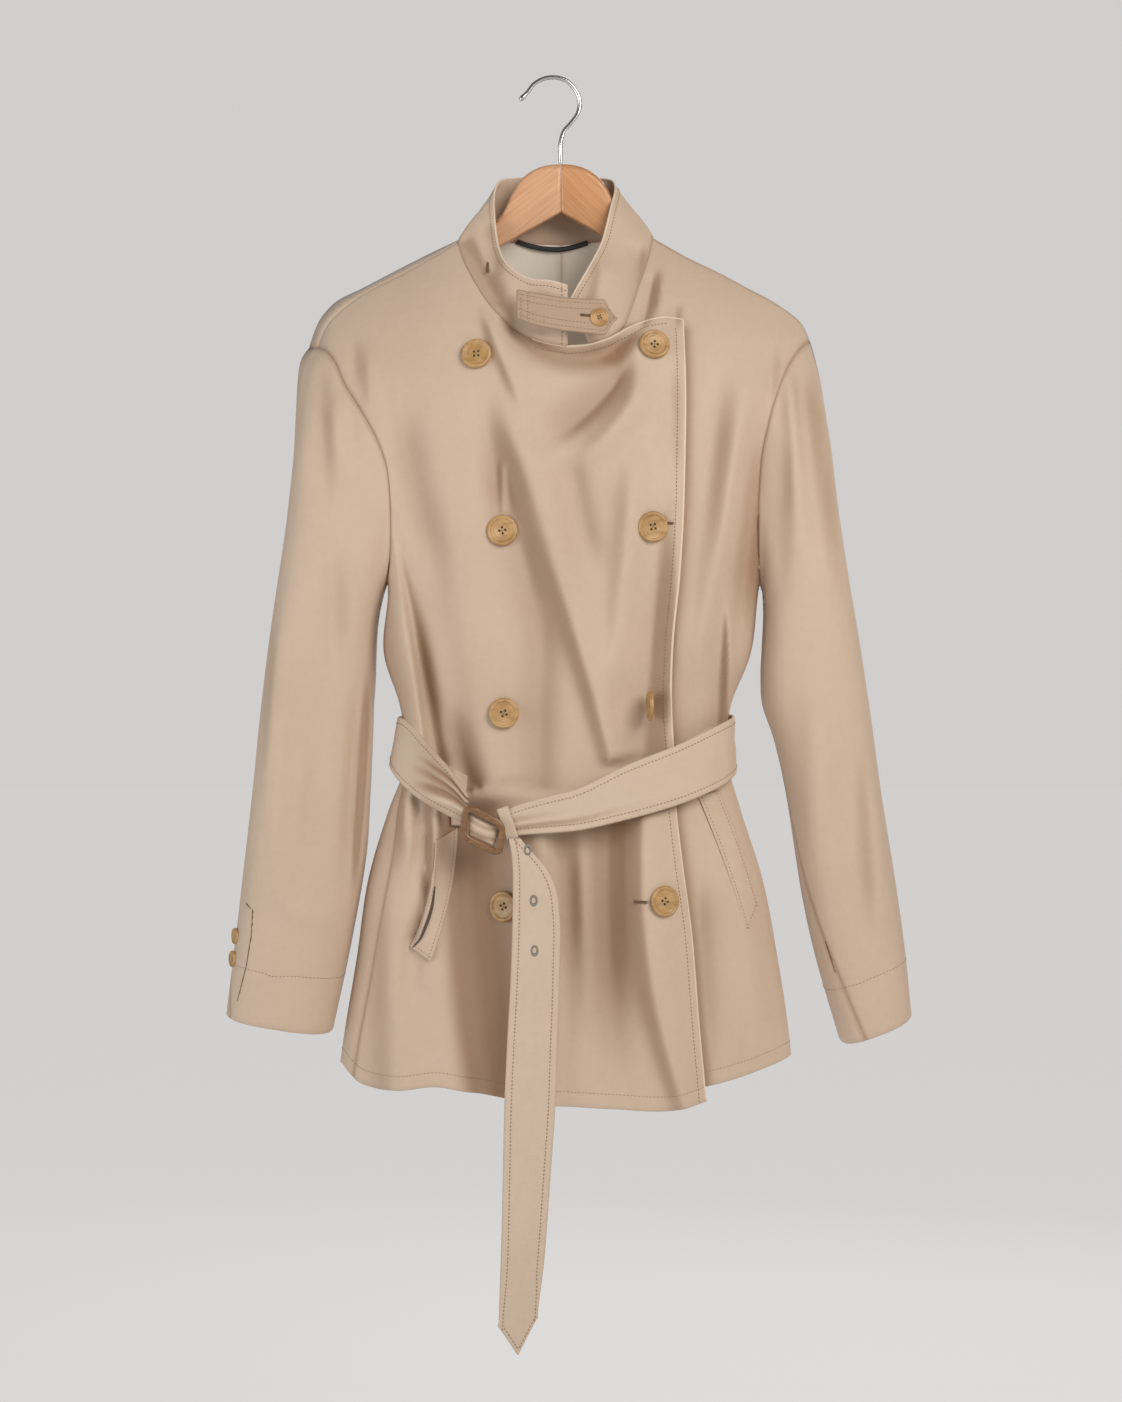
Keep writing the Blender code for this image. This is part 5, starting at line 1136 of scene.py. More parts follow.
def join_directions():
    """Gives both sides of the side, shoulder, armhole and centre-back seams one direction."""
    low = slice(0, ROWS_SKIRT + 1)
    chest = slice(ROWS_SKIRT, None)
    for side in ("right", "left"):
        front, back = inward["front_" + side], inward["back_" + side]
        f, b = ARM_COLUMN["front_" + side], ARM_COLUMN["back_" + side]
        front[low, f], back[low, b] = shared(front[low, f], back[low, b])
        in_front, in_back = SHOULDER_COLUMNS["front_" + side], SHOULDER_COLUMNS["back_" + side]
        both = shared(front[-1, in_front], back[-1, in_back][::-1])
        front[-1, in_front], back[-1, in_back] = both[0], both[1][::-1]
        loop = np.concatenate([front[chest, f][::-1], back[chest, b][1:-1]])
        arm = np.roll(sleeve_inward[side][0], -BACK_SEAM_COLUMNS, axis=0)
        loop, arm = shared_unless_folded(loop, arm)
        arm[0] = loop[0]
        sleeve_inward[side][0] = np.roll(arm, BACK_SEAM_COLUMNS, axis=0)
        front[chest, f] = loop[:ROWS_CHEST + 1][::-1]
        back[ROWS_SKIRT + 1:-1, b] = loop[ROWS_CHEST + 1:]
        back[-1, b] = loop[0]
    right, left = inward["back_right"], inward["back_left"]
    right[:, 0], left[:, -1] = shared(right[:, 0], left[:, -1])


join_directions()
print("shared directions on", len(SHOULDER_COLUMNS), "panels and", len(sleeves), "sleeves")

# %% Pressed seams and painted shade in the folds
SEAM_DIP = 0.55  # a pressed seam sinks by this much
# Painted shade beside a pressed seam, where it sinks.
SEAM_SHADE = 0.55
SEAM_WIDTH = 2.6
SHADE_FROM, DEEPEST = 1.0, 14.0  # depth of a hollow where shade begins, and over which it grows
STEEPEST = 0.75  # slope that has full shade
SLOPE_REACH = 2.0
SHADE_SHARE = 0.75  # of each cause


def near_seams(grid, **edges):
    """Share that is 1 at the named edges of a grid and fades as exp(-(distance / width)^2)."""
    total = np.zeros(grid.shape[:2])
    for edge in edges:
        g = grid.swapaxes(0, 1) if edge in ("bottom", "top") else grid
        g = g[:, ::-1] if edge in ("end", "top") else g
        run = run_along(g, axis=1)
        share = np.exp(-((run / SEAM_WIDTH) ** 2))
        share = share[:, ::-1] if edge in ("end", "top") else share
        total = np.maximum(total, share.swapaxes(0, 1) if edge in ("bottom", "top") else share)
    return total


def fold_shade(rows, x, drop, scale=1.0):
    """Share of painted shade, which grows in hollows down to DEEPEST and on sides that turn to the
    left, away from the key light.
    """
    height = scale * folds(rows, x, drop)
    rise = scale * (folds(rows, x + SLOPE_REACH, drop) - folds(rows, x - SLOPE_REACH, drop))
    down = step(np.clip((-height - SHADE_FROM) / DEEPEST, 0.0, 1.0))
    away = step(np.clip(rise / (2 * SLOPE_REACH) / STEEPEST, 0.0, 1.0))
    return np.clip(SHADE_SHARE * down + SHADE_SHARE * away, 0.0, 1.0)


print("shade in the main fold's hollow", fold_shade(FRONT_FOLDS, -20.0, 420.0).round(2))

# %% Panels
LAP_SHADE = 0.85  # painted shade on the under panel beside the free edge, where the over panel shades it, and its width
LAP_SHADE_WIDTH = 6.0
LAP_SHADE_FROM, LAP_SHADE_GROWS = 2.0, 8.0  # below the top of the edge
lap_edge = grids["front_right"][::-1, -1]  # the free edge, from the top down
for name, grid in grids.items():
    kept = trimmed(grid, top=half_gap, **SEWN_SIDES[name])
    seam = near_seams(kept, **SEWN_SIDES[name])
    kept = kept + inward[name] * (SEAM_DIP * seam)[..., None]
    rows = BACK_FOLDS if name.startswith("back") else FRONT_FOLDS
    # Painted shade: in the folds, beside the seams, and on the under panel beside the free edge.
    deep = np.maximum(fold_shade(rows, kept[..., 0], kept[..., 2]), SEAM_SHADE * seam)
    if name == "front_left":
        beyond = kept[..., 0] - np.interp(kept[..., 2], lap_edge[:, 2], lap_edge[:, 0])
        below = step((kept[..., 2] - lap_edge[0, 2] - LAP_SHADE_FROM) / LAP_SHADE_GROWS)
        near = np.exp(-((np.maximum(beyond, 0.0) / LAP_SHADE_WIDTH) ** 2))
        deep = np.maximum(deep, LAP_SHADE * below * near)
    cloth(name + "_cloth", kept, CLOTH, coat, inward[name], lining=lining, deep=deep)
    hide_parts(name)
    print(name, grid.shape)

# %% Sleeves
FRONT_SHARE = 1.25  # folds reach full height where the cloth mostly faces the front
BEHIND_SHARE = 0.7  # and this share of it, inwards, on the sleeve's back
FOLDS_BEGIN = 1.2  # rings below the armhole over which they begin
SLEEVE_SHADE = 0.8
CUFF_STITCH = 47.0  # height of the row of stitches above the cuff


def folded_sleeve(side, grid, into):
    """Moves the cloth out along its own direction by the height of the folds, which fades towards
    the outline and the armhole. Behind, the same folds come back at a share of their height."""
    height = folds(SLEEVE_FOLDS[side], grid[..., 0], grid[..., 2])
    facing = into[..., 1]
    share = np.where(facing > 0, np.clip(FRONT_SHARE * facing, 0, 1),
                     -BEHIND_SHARE * np.clip(-facing, 0, 1))
    held = step(np.linspace(0, ROWS_SLEEVE / FINE, ROWS_SLEEVE + 1) / FOLDS_BEGIN)[:, None]
    return grid - into * (height * share * held)[..., None]


outsides = {"right": [], "left": []}
for side, whole in sleeves.items():
    whole = folded_sleeve(side, whole, sleeve_inward[side])
    whole = np.concatenate([whole, whole[:, :1]], axis=1)
    into = np.concatenate([sleeve_inward[side], sleeve_inward[side][:, :1]], axis=1)
    top_part, under_part = slice(0, TOP_SLEEVE_COLUMNS + 1), slice(TOP_SLEEVE_COLUMNS, None)
    for name, columns in (("top_sleeve_", top_part), ("under_sleeve_", under_part)):
        grid = trimmed(whole[:, columns], bottom=half_gap, start=half_gap, end=half_gap)
        part = into[:, columns]
        seam = near_seams(grid, bottom=1, start=1, end=1)
        grid = grid + part * (SEAM_DIP * seam)[..., None]
        if side == "right":
            grid, part, seam = grid[::-1], part[::-1], seam[::-1]
        shade = fold_shade(SLEEVE_FOLDS[side], grid[..., 0], grid[..., 2], SLEEVE_SHADE)
        cloth(name + side + "_cloth", grid, CLOTH, coat, part,
                                    lining=lining, deep=np.maximum(shade, SEAM_SHADE * seam))
        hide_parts(name + side)
        cuff = "bottom" if side == "right" else "top"
        sew_edges(grid, -part, cuff, CUFF_STITCH, radius=FINE_THREAD)
        outsides[side].append((grid, -part))
        print(name + side, grid.shape)

# %% Collar
COLLAR_FOLDS = table(FOLD_COLUMNS, [
    (-86, 132, -42, 214, 3, -8, 9, 12, 0.15, 0.2),  # shade at its right foot
    (-60, 120, -44, 176, 0, -4, 6, 9, 0.2, 0.3),
    (-50, 196, 2, 226, -4, -4, 7, 7, 0.3, 0.3),  # hollow over the seam under the tab
    (44, 150, 30, 222, 2, 4, 8, 10, 0.3, 0.3),  # soft ridge up its left side
    (72, 138, 60, 214, 2, -5, 7, 8, 0.2, 0.2),  # crease at its left foot
])
COLLAR_STITCH = 4.5
COLLAR_FACING = 1.3  # its folds are full where it mostly faces the front
collar_points = trimmed(collar_grid(neckline()), bottom=SEAM_GAP)
collar_out = inward_normals(collar_points)  # this grid runs the other way, as the wall's inside
height = folds(COLLAR_FOLDS, collar_points[..., 0], collar_points[..., 2])
held = np.sin(pi * np.linspace(0, 1, len(collar_points)))[:, None]
held = held * np.clip(-COLLAR_FACING * collar_out[..., 1], 0, 1)
seam = near_seams(collar_points, bottom=1)
collar_points = collar_points + collar_out * (height * held - SEAM_DIP * seam)[..., None]
shade = fold_shade(COLLAR_FOLDS, collar_points[..., 0], collar_points[..., 2])
deep = np.maximum(shade * (collar_out[..., 1] < 0), SEAM_SHADE * seam)
collar = cloth("collar_cloth", collar_points, CLOTH, coat, collar_out, deep=deep)
collar_face = collar_points + collar_out * CLOTH
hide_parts("collar")
sew_edges(collar_face, collar_out, "top start", COLLAR_STITCH)
print("collar", collar_points.shape)

# %% [markdown]
# ## What lies on the fronts
# Buttons, pocket welts, belt loops and the throat tab are sewn on to the fronts. The buttons, welts
# and loops are worked out from the same form function as the cloth beneath them, and then moved out
# by their own thickness, so nothing floats and nothing sinks in; the tab lies at listed depths. A
# copy placed by eye would do neither where folds run.

# %% Places on the fronts
SEAT_REACH = 6.0  # how far round a place its slope is taken
lap_lift = {"right": LAP_LIFT, "left": -LAP_LIFT}


def front_depth(x, drop, lift=LAP_LIFT):
    """Depth of the fronts' outside: of the over panel, or the under panel with a lift below 0."""
    x, drop = np.asarray(x, float), np.asarray(drop, float)
    return skin(x, drop, -np.ones(np.broadcast(x, drop).shape), lift)


def seat(x, drop):
    """A point on the over panel and its outward direction, from the slope of its depth there."""
    r = SEAT_REACH
    slope_x = (front_depth(x + r, drop) - front_depth(x - r, drop)) / (2 * r)
    slope_d = (front_depth(x, drop + r) - front_depth(x, drop - r)) / (2 * r)
    point = np.array([x, float(front_depth(x, drop)), drop])
    return point, unit(np.array([slope_x, -1.0, slope_d]))


print("depth between the top buttons", float(front_depth(CENTRE_X, 240.0)))

# %% [markdown]
# ## Buttons
# A button is turned: one profile runs round its middle, with a raised rim and a dished face, and
# four holes are drilled through it. A polar grid gives the profile, and each hole is a pit in it,
# darkened with painted shade. Two threads cross each pair of holes. Drilling real holes into
# thirteen buttons would only add stray faces.

# %% Buttons
BUTTON_RING = table("share height", [
    (0.0, 0.56), (0.2, 0.56), (0.4, 0.58), (0.52, 0.62), (0.60, 0.62), (0.68, 0.64), (0.74, 0.74),
    (0.80, 0.93), (0.86, 1.0), (0.93, 0.93), (0.98, 0.72), (1.0, 0.50),
])
HOLE_AT = 0.070  # holes lie this share of the diameter out from the middle, across and down
HOLE_SIZE = 0.036
HOLE_DEPTH = 0.32  # as a share of the thickness
BACK_RING = table("share height", [(1.0, 0.25), (0.93, 0.02), (0.6, 0.0), (0.03, 0.0)])
BUTTON_SIDES = 72


def button(name, node_name, diameter, thickness, centre, normal, turn=0.3):
    """A polar grid: rings of the profile, with a pit exp(-(distance / size)^4) at each hole, and a
    flat back. It is laid on a centre, square to a normal, and turned about it."""
    radius = diameter / 2
    share = np.r_[np.linspace(0.03, 0.72, 26), np.linspace(0.74, 1.0, 14)]
    angle = circle(BUTTON_SIDES)
    r, a = np.meshgrid(share, angle, indexing="ij")
    height = smooth(BUTTON_RING["share"], BUTTON_RING["height"], r) * thickness
    across, down = r * np.cos(a) / 2, r * np.sin(a) / 2
    pit = np.zeros(r.shape)
    for x, y in ((-1, -1), (1, -1), (1, 1), (-1, 1)):
        away = (across - x * HOLE_AT) ** 2 + (down - y * HOLE_AT) ** 2
        pit = np.maximum(pit, np.exp(-((away / HOLE_SIZE ** 2) ** 2)))
    height = height - HOLE_DEPTH * thickness * pit
    normal = unit(np.asarray(normal, float))
    level = unit(np.cross(normal, [0.0, 0.0, 1.0]))
    upright = np.cross(level, normal)
    one = np.cos(turn) * level + np.sin(turn) * upright
    two = -np.sin(turn) * level + np.cos(turn) * upright

    def laid(r, a, h):
        """Points of the polar grid, laid on the button's place."""
        flat = radius * (r * np.cos(a))[..., None] * one
        return centre + normal * h[..., None] + flat + radius * (r * np.sin(a))[..., None] * two

    back_r, back_a = np.meshgrid(BACK_RING["share"], angle, indexing="ij")
    back_height = (BACK_RING["height"] * thickness)[:, None] + 0 * angle
    rings = np.concatenate([laid(r, a, height), laid(back_r, back_a, back_height)])
    # Painted shade in the pits of the holes.
    mark = np.concatenate([np.clip(pit * 1.4, 0, 1), 0 * back_r])
    thing = solid_rings(name, rings, horn, mark=mark)
    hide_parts(node_name)
    spot = centre + normal * thickness * 0.5
    d = HOLE_AT * diameter
    for s in (-1, 1):
        sew_between(spot + (one * -d + two * -d * s), spot + (one * d + two * d * s), normal,
                    pitch=2.83 * d, length=2.5 * d, radius=0.32)
    return thing


# %% Front buttons
FRONT_BUTTON = (25.5, 3.6)  # diameter and thickness
BUTTON_LIFT = 0.6  # the shank of thread holds it off the cloth
FRONT_BUTTONS = {
    "button_right_1": (-63.2, 241.0, 0.1), "button_right_2": (-41.8, 387.5, 0.9),
    "button_right_3": (-40.9, 538.2, 0.35), "button_right_4": (-39.7, 697.5, 0.5),
    "button_left_1": (84.1, 232.6, 0.7), "button_left_2": (82.1, 384.4, 0.2),
    "button_left_4": (91.5, 692.8, 0.6),
}
for name, (x, drop, turn) in FRONT_BUTTONS.items():
    centre, normal = seat(x, drop)
    button(name + "_horn", name, *FRONT_BUTTON, centre + normal * BUTTON_LIFT, normal, turn)
TURNED_BY, TURNED_LIFT = np.radians(83), 1.6  # the third on the left stands on edge
edge_on = np.array([-np.sin(TURNED_BY), -np.cos(TURNED_BY), 0.0])
centre, _ = seat(81.7, 531.6)
centre[1] -= FRONT_BUTTON[0] / 2 * np.sin(TURNED_BY) + TURNED_LIFT
button("button_left_3_horn", "button_left_3", *FRONT_BUTTON, centre, edge_on)
print(len(FRONT_BUTTONS) + 1, "front buttons")

# %% [markdown]
# ## Pockets, belt loops and the throat tab
# A welt is a folded strip sewn over the edge of a slanted pocket, and a belt loop is a plain strip.
# Each is a patch between four corners, laid on the front's own depth. The right pocket gapes, and a
# dark sliver inside its edge is painted shade. The throat tab ends in a point and holds the collar
# shut.

# %% Patches on the fronts
REST_GAP = 0.35  # between cloth that lies on cloth
WELT_LIFT, LOOP_LIFT = 0.3, 1.4
BACKWARDS = np.array([0.0, 1.0, 0.0])
STRIP_STITCH = 2.6  # distance of the stitches from a strip's edge
WELTS = {
    "right": [(-79.5, 634), (-96.5, 644), (-117.5, 731), (-101, 742.5)],
    "left": [(121, 607), (138, 603), (171, 698), (161.5, 720)],
}
WELT_BOW = {"right": 5.0, "left": 2.0}
BELT_LOOPS = {
    "right": [(-86.5, 581.5), (-71.3, 590.5), (-74, 631), (-84, 631)],
    "left": [(110, 561), (133, 549), (133, 597), (119, 599)],
}


def patch(side, corners, rows, columns, lift, bow=0.0):
    """Even grid between four corners, its long sides bowed sideways, laid over the front of its
    side from its lower end up."""
    a, b, c, d = (np.array(p, float) for p in corners)
    v = np.linspace(0, 1, rows)[:, None, None]
    u = np.linspace(0, 1, columns)[None, :, None]
    grid = (a * (1 - u) + b * u) * (1 - v) + (d * (1 - u) + c * u) * v
    x, drop = grid[..., 0] + bow * 4 * v[..., 0] * (1 - v[..., 0]), grid[..., 1]
    y = front_depth(x, drop, lap_lift[side]) - REST_GAP - CLOTH - lift
    return stack(x, y, drop)[::-1]


print("a patch of", patch("left", WELTS["left"], 9, 3, 0.0).shape[:2], "points")

# %% Pocket welts
for side, corners in WELTS.items():
    grid = patch(side, corners, 90, 18, WELT_LIFT, WELT_BOW[side])
    if side == "right":
        grid = grid[:, ::-1]
    welt_in = inward_normals(grid)
    welt_in = welt_in * np.sign(welt_in[..., 1:2].mean())
    welt = cloth("pocket_welt_" + side + "_cloth", grid, CLOTH, coat, BACKWARDS)
    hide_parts("pocket_welt_" + side)
    sew_edges(grid, -welt_in, "start end bottom", STRIP_STITCH, radius=0.2)
    print("welt", side, grid.shape)

# %% Pocket mouth
POCKET_MOUTH = table("drop left right", [
    (681, -97.4, -96.7), (700, -101.2, -99.0), (715, -106.6, -104.0), (726, -111.7, -109.8),
    (731.5, -116.4, -115.4),
])
drop = np.linspace(POCKET_MOUTH["drop"][0], POCKET_MOUTH["drop"][-1], 60)[:, None]
left, right = (smooth(POCKET_MOUTH["drop"], POCKET_MOUTH[name], drop) for name in ("left", "right"))
x = left + (right - left) * np.linspace(0, 1, 6)
y = front_depth(x, drop + 0 * x) - REST_GAP - 2 * CLOTH - 0.1
cloth("pocket_mouth", stack(x, y, drop + 0 * x)[::-1], 0.2, pocket_painted_shade)
print("pocket mouth", (right - left).max().round(1), "mm wide")

# %% Belt loops
for side, corners in BELT_LOOPS.items():
    grid = patch(side, corners, 40, 8, LOOP_LIFT)
    loop = cloth("belt_loop_" + side + "_cloth", grid, CLOTH, coat_pale, BACKWARDS)
    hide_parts("belt_loop_" + side)
    print("belt loop", side, grid.shape)

# %% Throat tab
TAB = table("x upper lower y", [
    (-29, 188.5, 211, -71.5), (-14, 192, 217, -74), (6, 195.5, 221, -75), (28, 197, 223.5, -75),
    (43, 197.3, 225, -74), (51.4, 209.8, 211.2, -73),
])
TAB_LEAN = 3.0  # its upper edge stands this much further out, so it faces down a little
# Painted shade over the whole throat tab.
TAB_SHADE = 0.55
TAB_BUTTON = (15.5, 3.0)
across = np.linspace(TAB["x"][0], TAB["x"][-1], 110)[None, :]
level = np.linspace(1, 0, 30)[:, None]
upper, lower = (np.interp(across, TAB["x"], TAB[name]) for name in ("upper", "lower"))
depth = smooth(TAB["x"], TAB["y"], across)
drop = upper + (lower - upper) * level
tab_points = stack(across + 0 * level, depth + 0 * level, drop)
tab_in = inward_normals(tab_points)
tab_points[..., 1] -= TAB_LEAN * level
tab = cloth("throat_tab_cloth", tab_points, 2 * CLOTH, coat, deep=TAB_SHADE + 0 * across * level)
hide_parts("throat_tab")
for edge in ("bottom", "top"):
    sew_edges(tab_points, -tab_in, edge, STRIP_STITCH, end=0.93, radius=FINE_THREAD)
    sew_edges(tab_points, -tab_in, edge, 7.5, end=0.86, radius=FINE_THREAD)
for inset in (3.0, 9.0):
    sew_edges(tab_points, -tab_in, "start", inset, radius=FINE_THREAD)
spot = np.array([38.5, -75.2, 211.2])
button("tab_button_horn", "tab_button", *TAB_BUTTON, spot, (0, -1, 0), 0.4)
print("tab", tab_points.shape)

# %% [markdown]
# ## Belt
# The belt is doubled cloth round the waist. It slopes down to the buckle on both sides and creases
# where the buckle gathers it. Two lines, its upper and its lower edge, are given by the turn round
# the waist, and the cloth lies on an oval between them. A strip of one width, bent round, could
# not widen and narrow as it twists.

# %% Belt lines
BELT_CLOTH = 2.2  # doubled cloth
BELT_STITCH = 4.6  # distance of the stitches from its edges
BELT_OVAL = dict(middle_x=8.5, middle_y=-28.5, half=146, deep=67, square=2.4)
BELT_LEAN = table("turn lean", [
    (20, 0), (90, 1.8), (150, 0), (220, 0), (275, 7), (300, 5), (318, 0),
])
BELT = table("turn upper lower", [
    (-18, 621, 640), (-10, 613, 637), (0, 604, 634.5), (16, 582.5, 625), (36, 565.5, 613),
    (56, 551.5, 601), (90, 541, 586), (135, 543, 585), (180, 545, 586), (225, 544, 585),
    (270, 542, 580), (296, 547, 597), (308, 559, 608), (316, 569.5, 615), (326, 589, 624),
    (331, 604.5, 629),
])
BELT_CREASES = table("turn0 share0 turn1 share1 rise wide", [
    (331, 0.5, 298, 0.92, -2.6, 0.07), (331, 0.64, 304, 1.0, 1.6, 0.06),
    (331, 0.34, 296, 0.66, -2.2, 0.07), (330, 0.18, 300, 0.42, -2.0, 0.06),
    (331, 0.26, 310, 0.5, 1.2, 0.05), (-18, 0.5, 4, 0.55, -1.2, 0.12),
    (-18, 0.25, -2, 0.3, 0.9, 0.1), (-16, 0.8, 30, 0.75, -1.6, 0.08),
    (-10, 0.62, 60, 0.9, 0.8, 0.07), (84, 0.35, 100, 0.5, -1.0, 0.12),
    (250, 0.6, 280, 0.5, -1.0, 0.12),
])


def belt_point(turn, out=0.0):
    """Place across and depth of the waist's squared-off oval at a turn, grown by a distance."""
    o = BELT_OVAL
    x = o["middle_x"] + (o["half"] + out) * bent(np.sin(turn), 2 / o["square"])
    return x, o["middle_y"] - (o["deep"] + out) * bent(np.cos(turn), 2 / o["square"])


print(len(BELT_CREASES["rise"]), "creases in the belt")

# %% Belt
BELT_COLUMNS, BELT_ROWS = 420, 26
GATHER_TURN, GATHER_WIDTH = 318.0, 16.0  # where the buckle gathers it, in degrees
# Painted shade on the belt's run beside the buckle, where the buckle gathers it.
GATHER_SHADE = 0.45
turns = np.linspace(BELT["turn"][0], BELT["turn"][-1], 2000)
x, y = belt_point(np.radians(turns))
run = np.r_[0.0, np.cumsum(np.hypot(np.diff(x), np.diff(y)))]
turn = np.interp(np.linspace(0, run[-1], BELT_COLUMNS), run, turns)[None, :]
level = np.linspace(1, 0, BELT_ROWS)[:, None]
height = np.zeros((BELT_ROWS, BELT_COLUMNS))
for i in range(len(BELT_CREASES["turn0"])):
    c = entry(BELT_CREASES, i)
    t = np.clip((turn - c["turn0"]) / (c["turn1"] - c["turn0"]), -0.2, 1)
    line = c["share0"] + (c["share1"] - c["share0"]) * t
    ridge = c["rise"] * np.exp(-(((level - line) / c["wide"]) ** 2))
    height = height + ridge * step(1.2 * (1 - t)) * (t > -0.19)
lean = smooth(BELT_LEAN["turn"], BELT_LEAN["lean"], turn)
x, y = belt_point(np.radians(turn), height - lean * (1 - level))
upper = smooth(BELT["turn"], BELT["upper"], turn)
lower = smooth(BELT["turn"], BELT["lower"], turn)
belt_points = stack(x, y, upper + (lower - upper) * level)
belt_in = inward_normals(belt_points)
# Painted shade on the belt: in the hollows of its creases and beside the buckle.
painted_gather_shade = GATHER_SHADE * np.exp(-(((turn - GATHER_TURN) / GATHER_WIDTH) ** 2))
belt = cloth("belt_cloth", belt_points, BELT_CLOTH, coat_pale, belt_in,
             deep=np.clip(-height / 2.5 + painted_gather_shade, 0, 1))
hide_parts("belt_round")
sew_edges(belt_points, -belt_in, "bottom top", BELT_STITCH)
print("belt", round(run[-1]), "mm round the waist")

# %% [markdown]
# ## Belt tail with its eyelets
# The tail drops in front from behind the keeper, twists a little and ends in a slanted point. Its
# rows start close together, where it comes out from under the belt. Each eyelet is a ring of dense
# thread round a sunken middle, darkened with painted shade, turned from one profile.

# %% Belt tail
TAIL = table("drop left right y", [
    (641, -35.5, -27, -98.8), (650, -33.4, -19, -99.3), (664, -31.9, -6.5, -100.5),
    (680, -31.6, 1.5, -101), (700, -31.8, 4.6, -100.5), (752, -33.3, 4.8, -99),
    (814, -36.6, 2.7, -97), (860, -38.6, 1.1, -95), (915, -39.8, -2.6, -93),
    (987, -41.6, -7.9, -91), (1034, -44, -12.9, -90),
])
TAIL_POINT = 27.0
TAIL_SLANT = 7.5  # the tail's left corner hangs this much lower than its right one
TAIL_CUT = 960.0  # drop from which the rows turn into the point
drop = np.linspace(TAIL["drop"][0] ** 0.5, TAIL["drop"][-1] ** 0.5, 220)[:, None] ** 2
across = np.linspace(0, 1, 28)[None, :]
left, right, y = (smooth(TAIL["drop"], TAIL[name], drop) for name in ("left", "right", "y"))
point = TAIL_POINT * (1 - np.abs(2 * across - 1)) + TAIL_SLANT * (1 - across)
low = step((drop - TAIL_CUT) / (TAIL["drop"][-1] - TAIL_CUT))
wave = 0.8 * np.sin(drop / 41 + 2 * across) * step((drop - 690) / 60)
x = left + (right - left) * across
tail_points = stack(x, y + wave, drop + point * low ** 2)[::-1]
tail_in = inward_normals(tail_points)
tail = cloth("belt_tail_cloth", tail_points, BELT_CLOTH, coat_pale, tail_in)
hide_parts("belt_tail")
sew_edges(tail_points, -tail_in, "start end", BELT_STITCH)
sew_edges(tail_points, -tail_in, "bottom", BELT_STITCH, start=0.1, end=0.9)
print("tail", round(TAIL["drop"][-1] - TAIL["drop"][0]), "mm long before its point")

# %% Eyelets
EYELETS = [(-20.5, 650.0), (-15.6, 691.0), (-14.9, 732.0)]
EYELET_SIZE = (2.7, 4.0)
# The last column is painted shade in the eyelet's hole.
EYELET = table("r height mark", [
    (1.25, -0.5, 0), (1.22, 0.1, 0), (1.0, 0.5, 0), (0.7, 0.4, 0.2), (0.5, -0.3, 0.8),
    (0.3, -0.6, 1), (0.02, -0.6, 1),
])
knots = np.arange(len(EYELET["r"]))
fine = np.linspace(0, knots[-1], 30)
at = circle(48)[None, :]
r, height = (smooth(knots, EYELET[name], fine)[:, None] for name in ("r", "height"))
dark = np.interp(fine, knots, EYELET["mark"])[:, None] + 0 * at
for i, (x0, d0) in enumerate(EYELETS):
    front = float(smooth(TAIL["drop"], TAIL["y"], d0))
    ring = stack(x0 + EYELET_SIZE[0] * r * np.cos(at), front - height + 0 * at,
                 d0 + EYELET_SIZE[1] * r * np.sin(at))
    solid_rings(f"eyelet_{i + 1}", ring, eyelet_thread, mark=dark)
print(len(EYELETS), "eyelets")

# %% [markdown]
# ## Buckle, fold and keeper
# The buckle is a rounded, square-sided bar carried along a rounded square, as one casting. The
# belt turns back through it as a small gathered fold, and a narrow keeper holds the layers beside
# it. Each is worked out apart, because cloth pressed through a frame by a simulation seldom keeps
# its place.

# %% Buckle
BUCKLE_CORNERS = [(-71, -100, 614), (-40.5, -101.5, 629), (-43.5, -99, 653.5), (-74, -97, 639)]
BUCKLE_BAR = (5.4, 4.4)
BUCKLE_ROUNDING, BAR_ROUNDING = 0.42, 0.7
BUCKLE_RINGS, BUCKLE_SIDES = 120, 20
BUCKLE_CORNERS = np.array(BUCKLE_CORNERS, float)
middle = BUCKLE_CORNERS.mean(axis=0)
along = (BUCKLE_CORNERS[1] - BUCKLE_CORNERS[0] + BUCKLE_CORNERS[2] - BUCKLE_CORNERS[3]) / 4
down = (BUCKLE_CORNERS[3] - BUCKLE_CORNERS[0] + BUCKLE_CORNERS[2] - BUCKLE_CORNERS[1]) / 4
angle = circle(BUCKLE_RINGS)[:, None]
u, v = bent(np.cos(angle), BUCKLE_ROUNDING), bent(np.sin(angle), BUCKLE_ROUNDING)
line = middle + along * u + down * v + np.array([0, 1.0, 0])
ahead = unit(np.roll(line, -1, axis=0) - np.roll(line, 1, axis=0))
beside = unit(np.cross(ahead, [0.0, 1.0, 0.0]))
forward = np.cross(beside, ahead)
turn = circle(BUCKLE_SIDES)[None, :, None]
wide, thick = bent(np.cos(turn), BAR_ROUNDING), bent(np.sin(turn), BAR_ROUNDING)
rings = (line[:, None] + BUCKLE_BAR[0] / 2 * wide * beside[:, None]
         + BUCKLE_BAR[1] / 2 * thick * forward[:, None])
faces = cells(BUCKLE_RINGS + 1, BUCKLE_SIDES, wrap=True)
count = BUCKLE_RINGS * BUCKLE_SIDES
faces = np.where(faces >= count, faces - count, faces)
buckle = finished("buckle_horn", rings, faces, brown, mark=np.zeros(count))
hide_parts("buckle")
print("buckle", (2 * np.linalg.norm(along)).round(1), "mm wide")

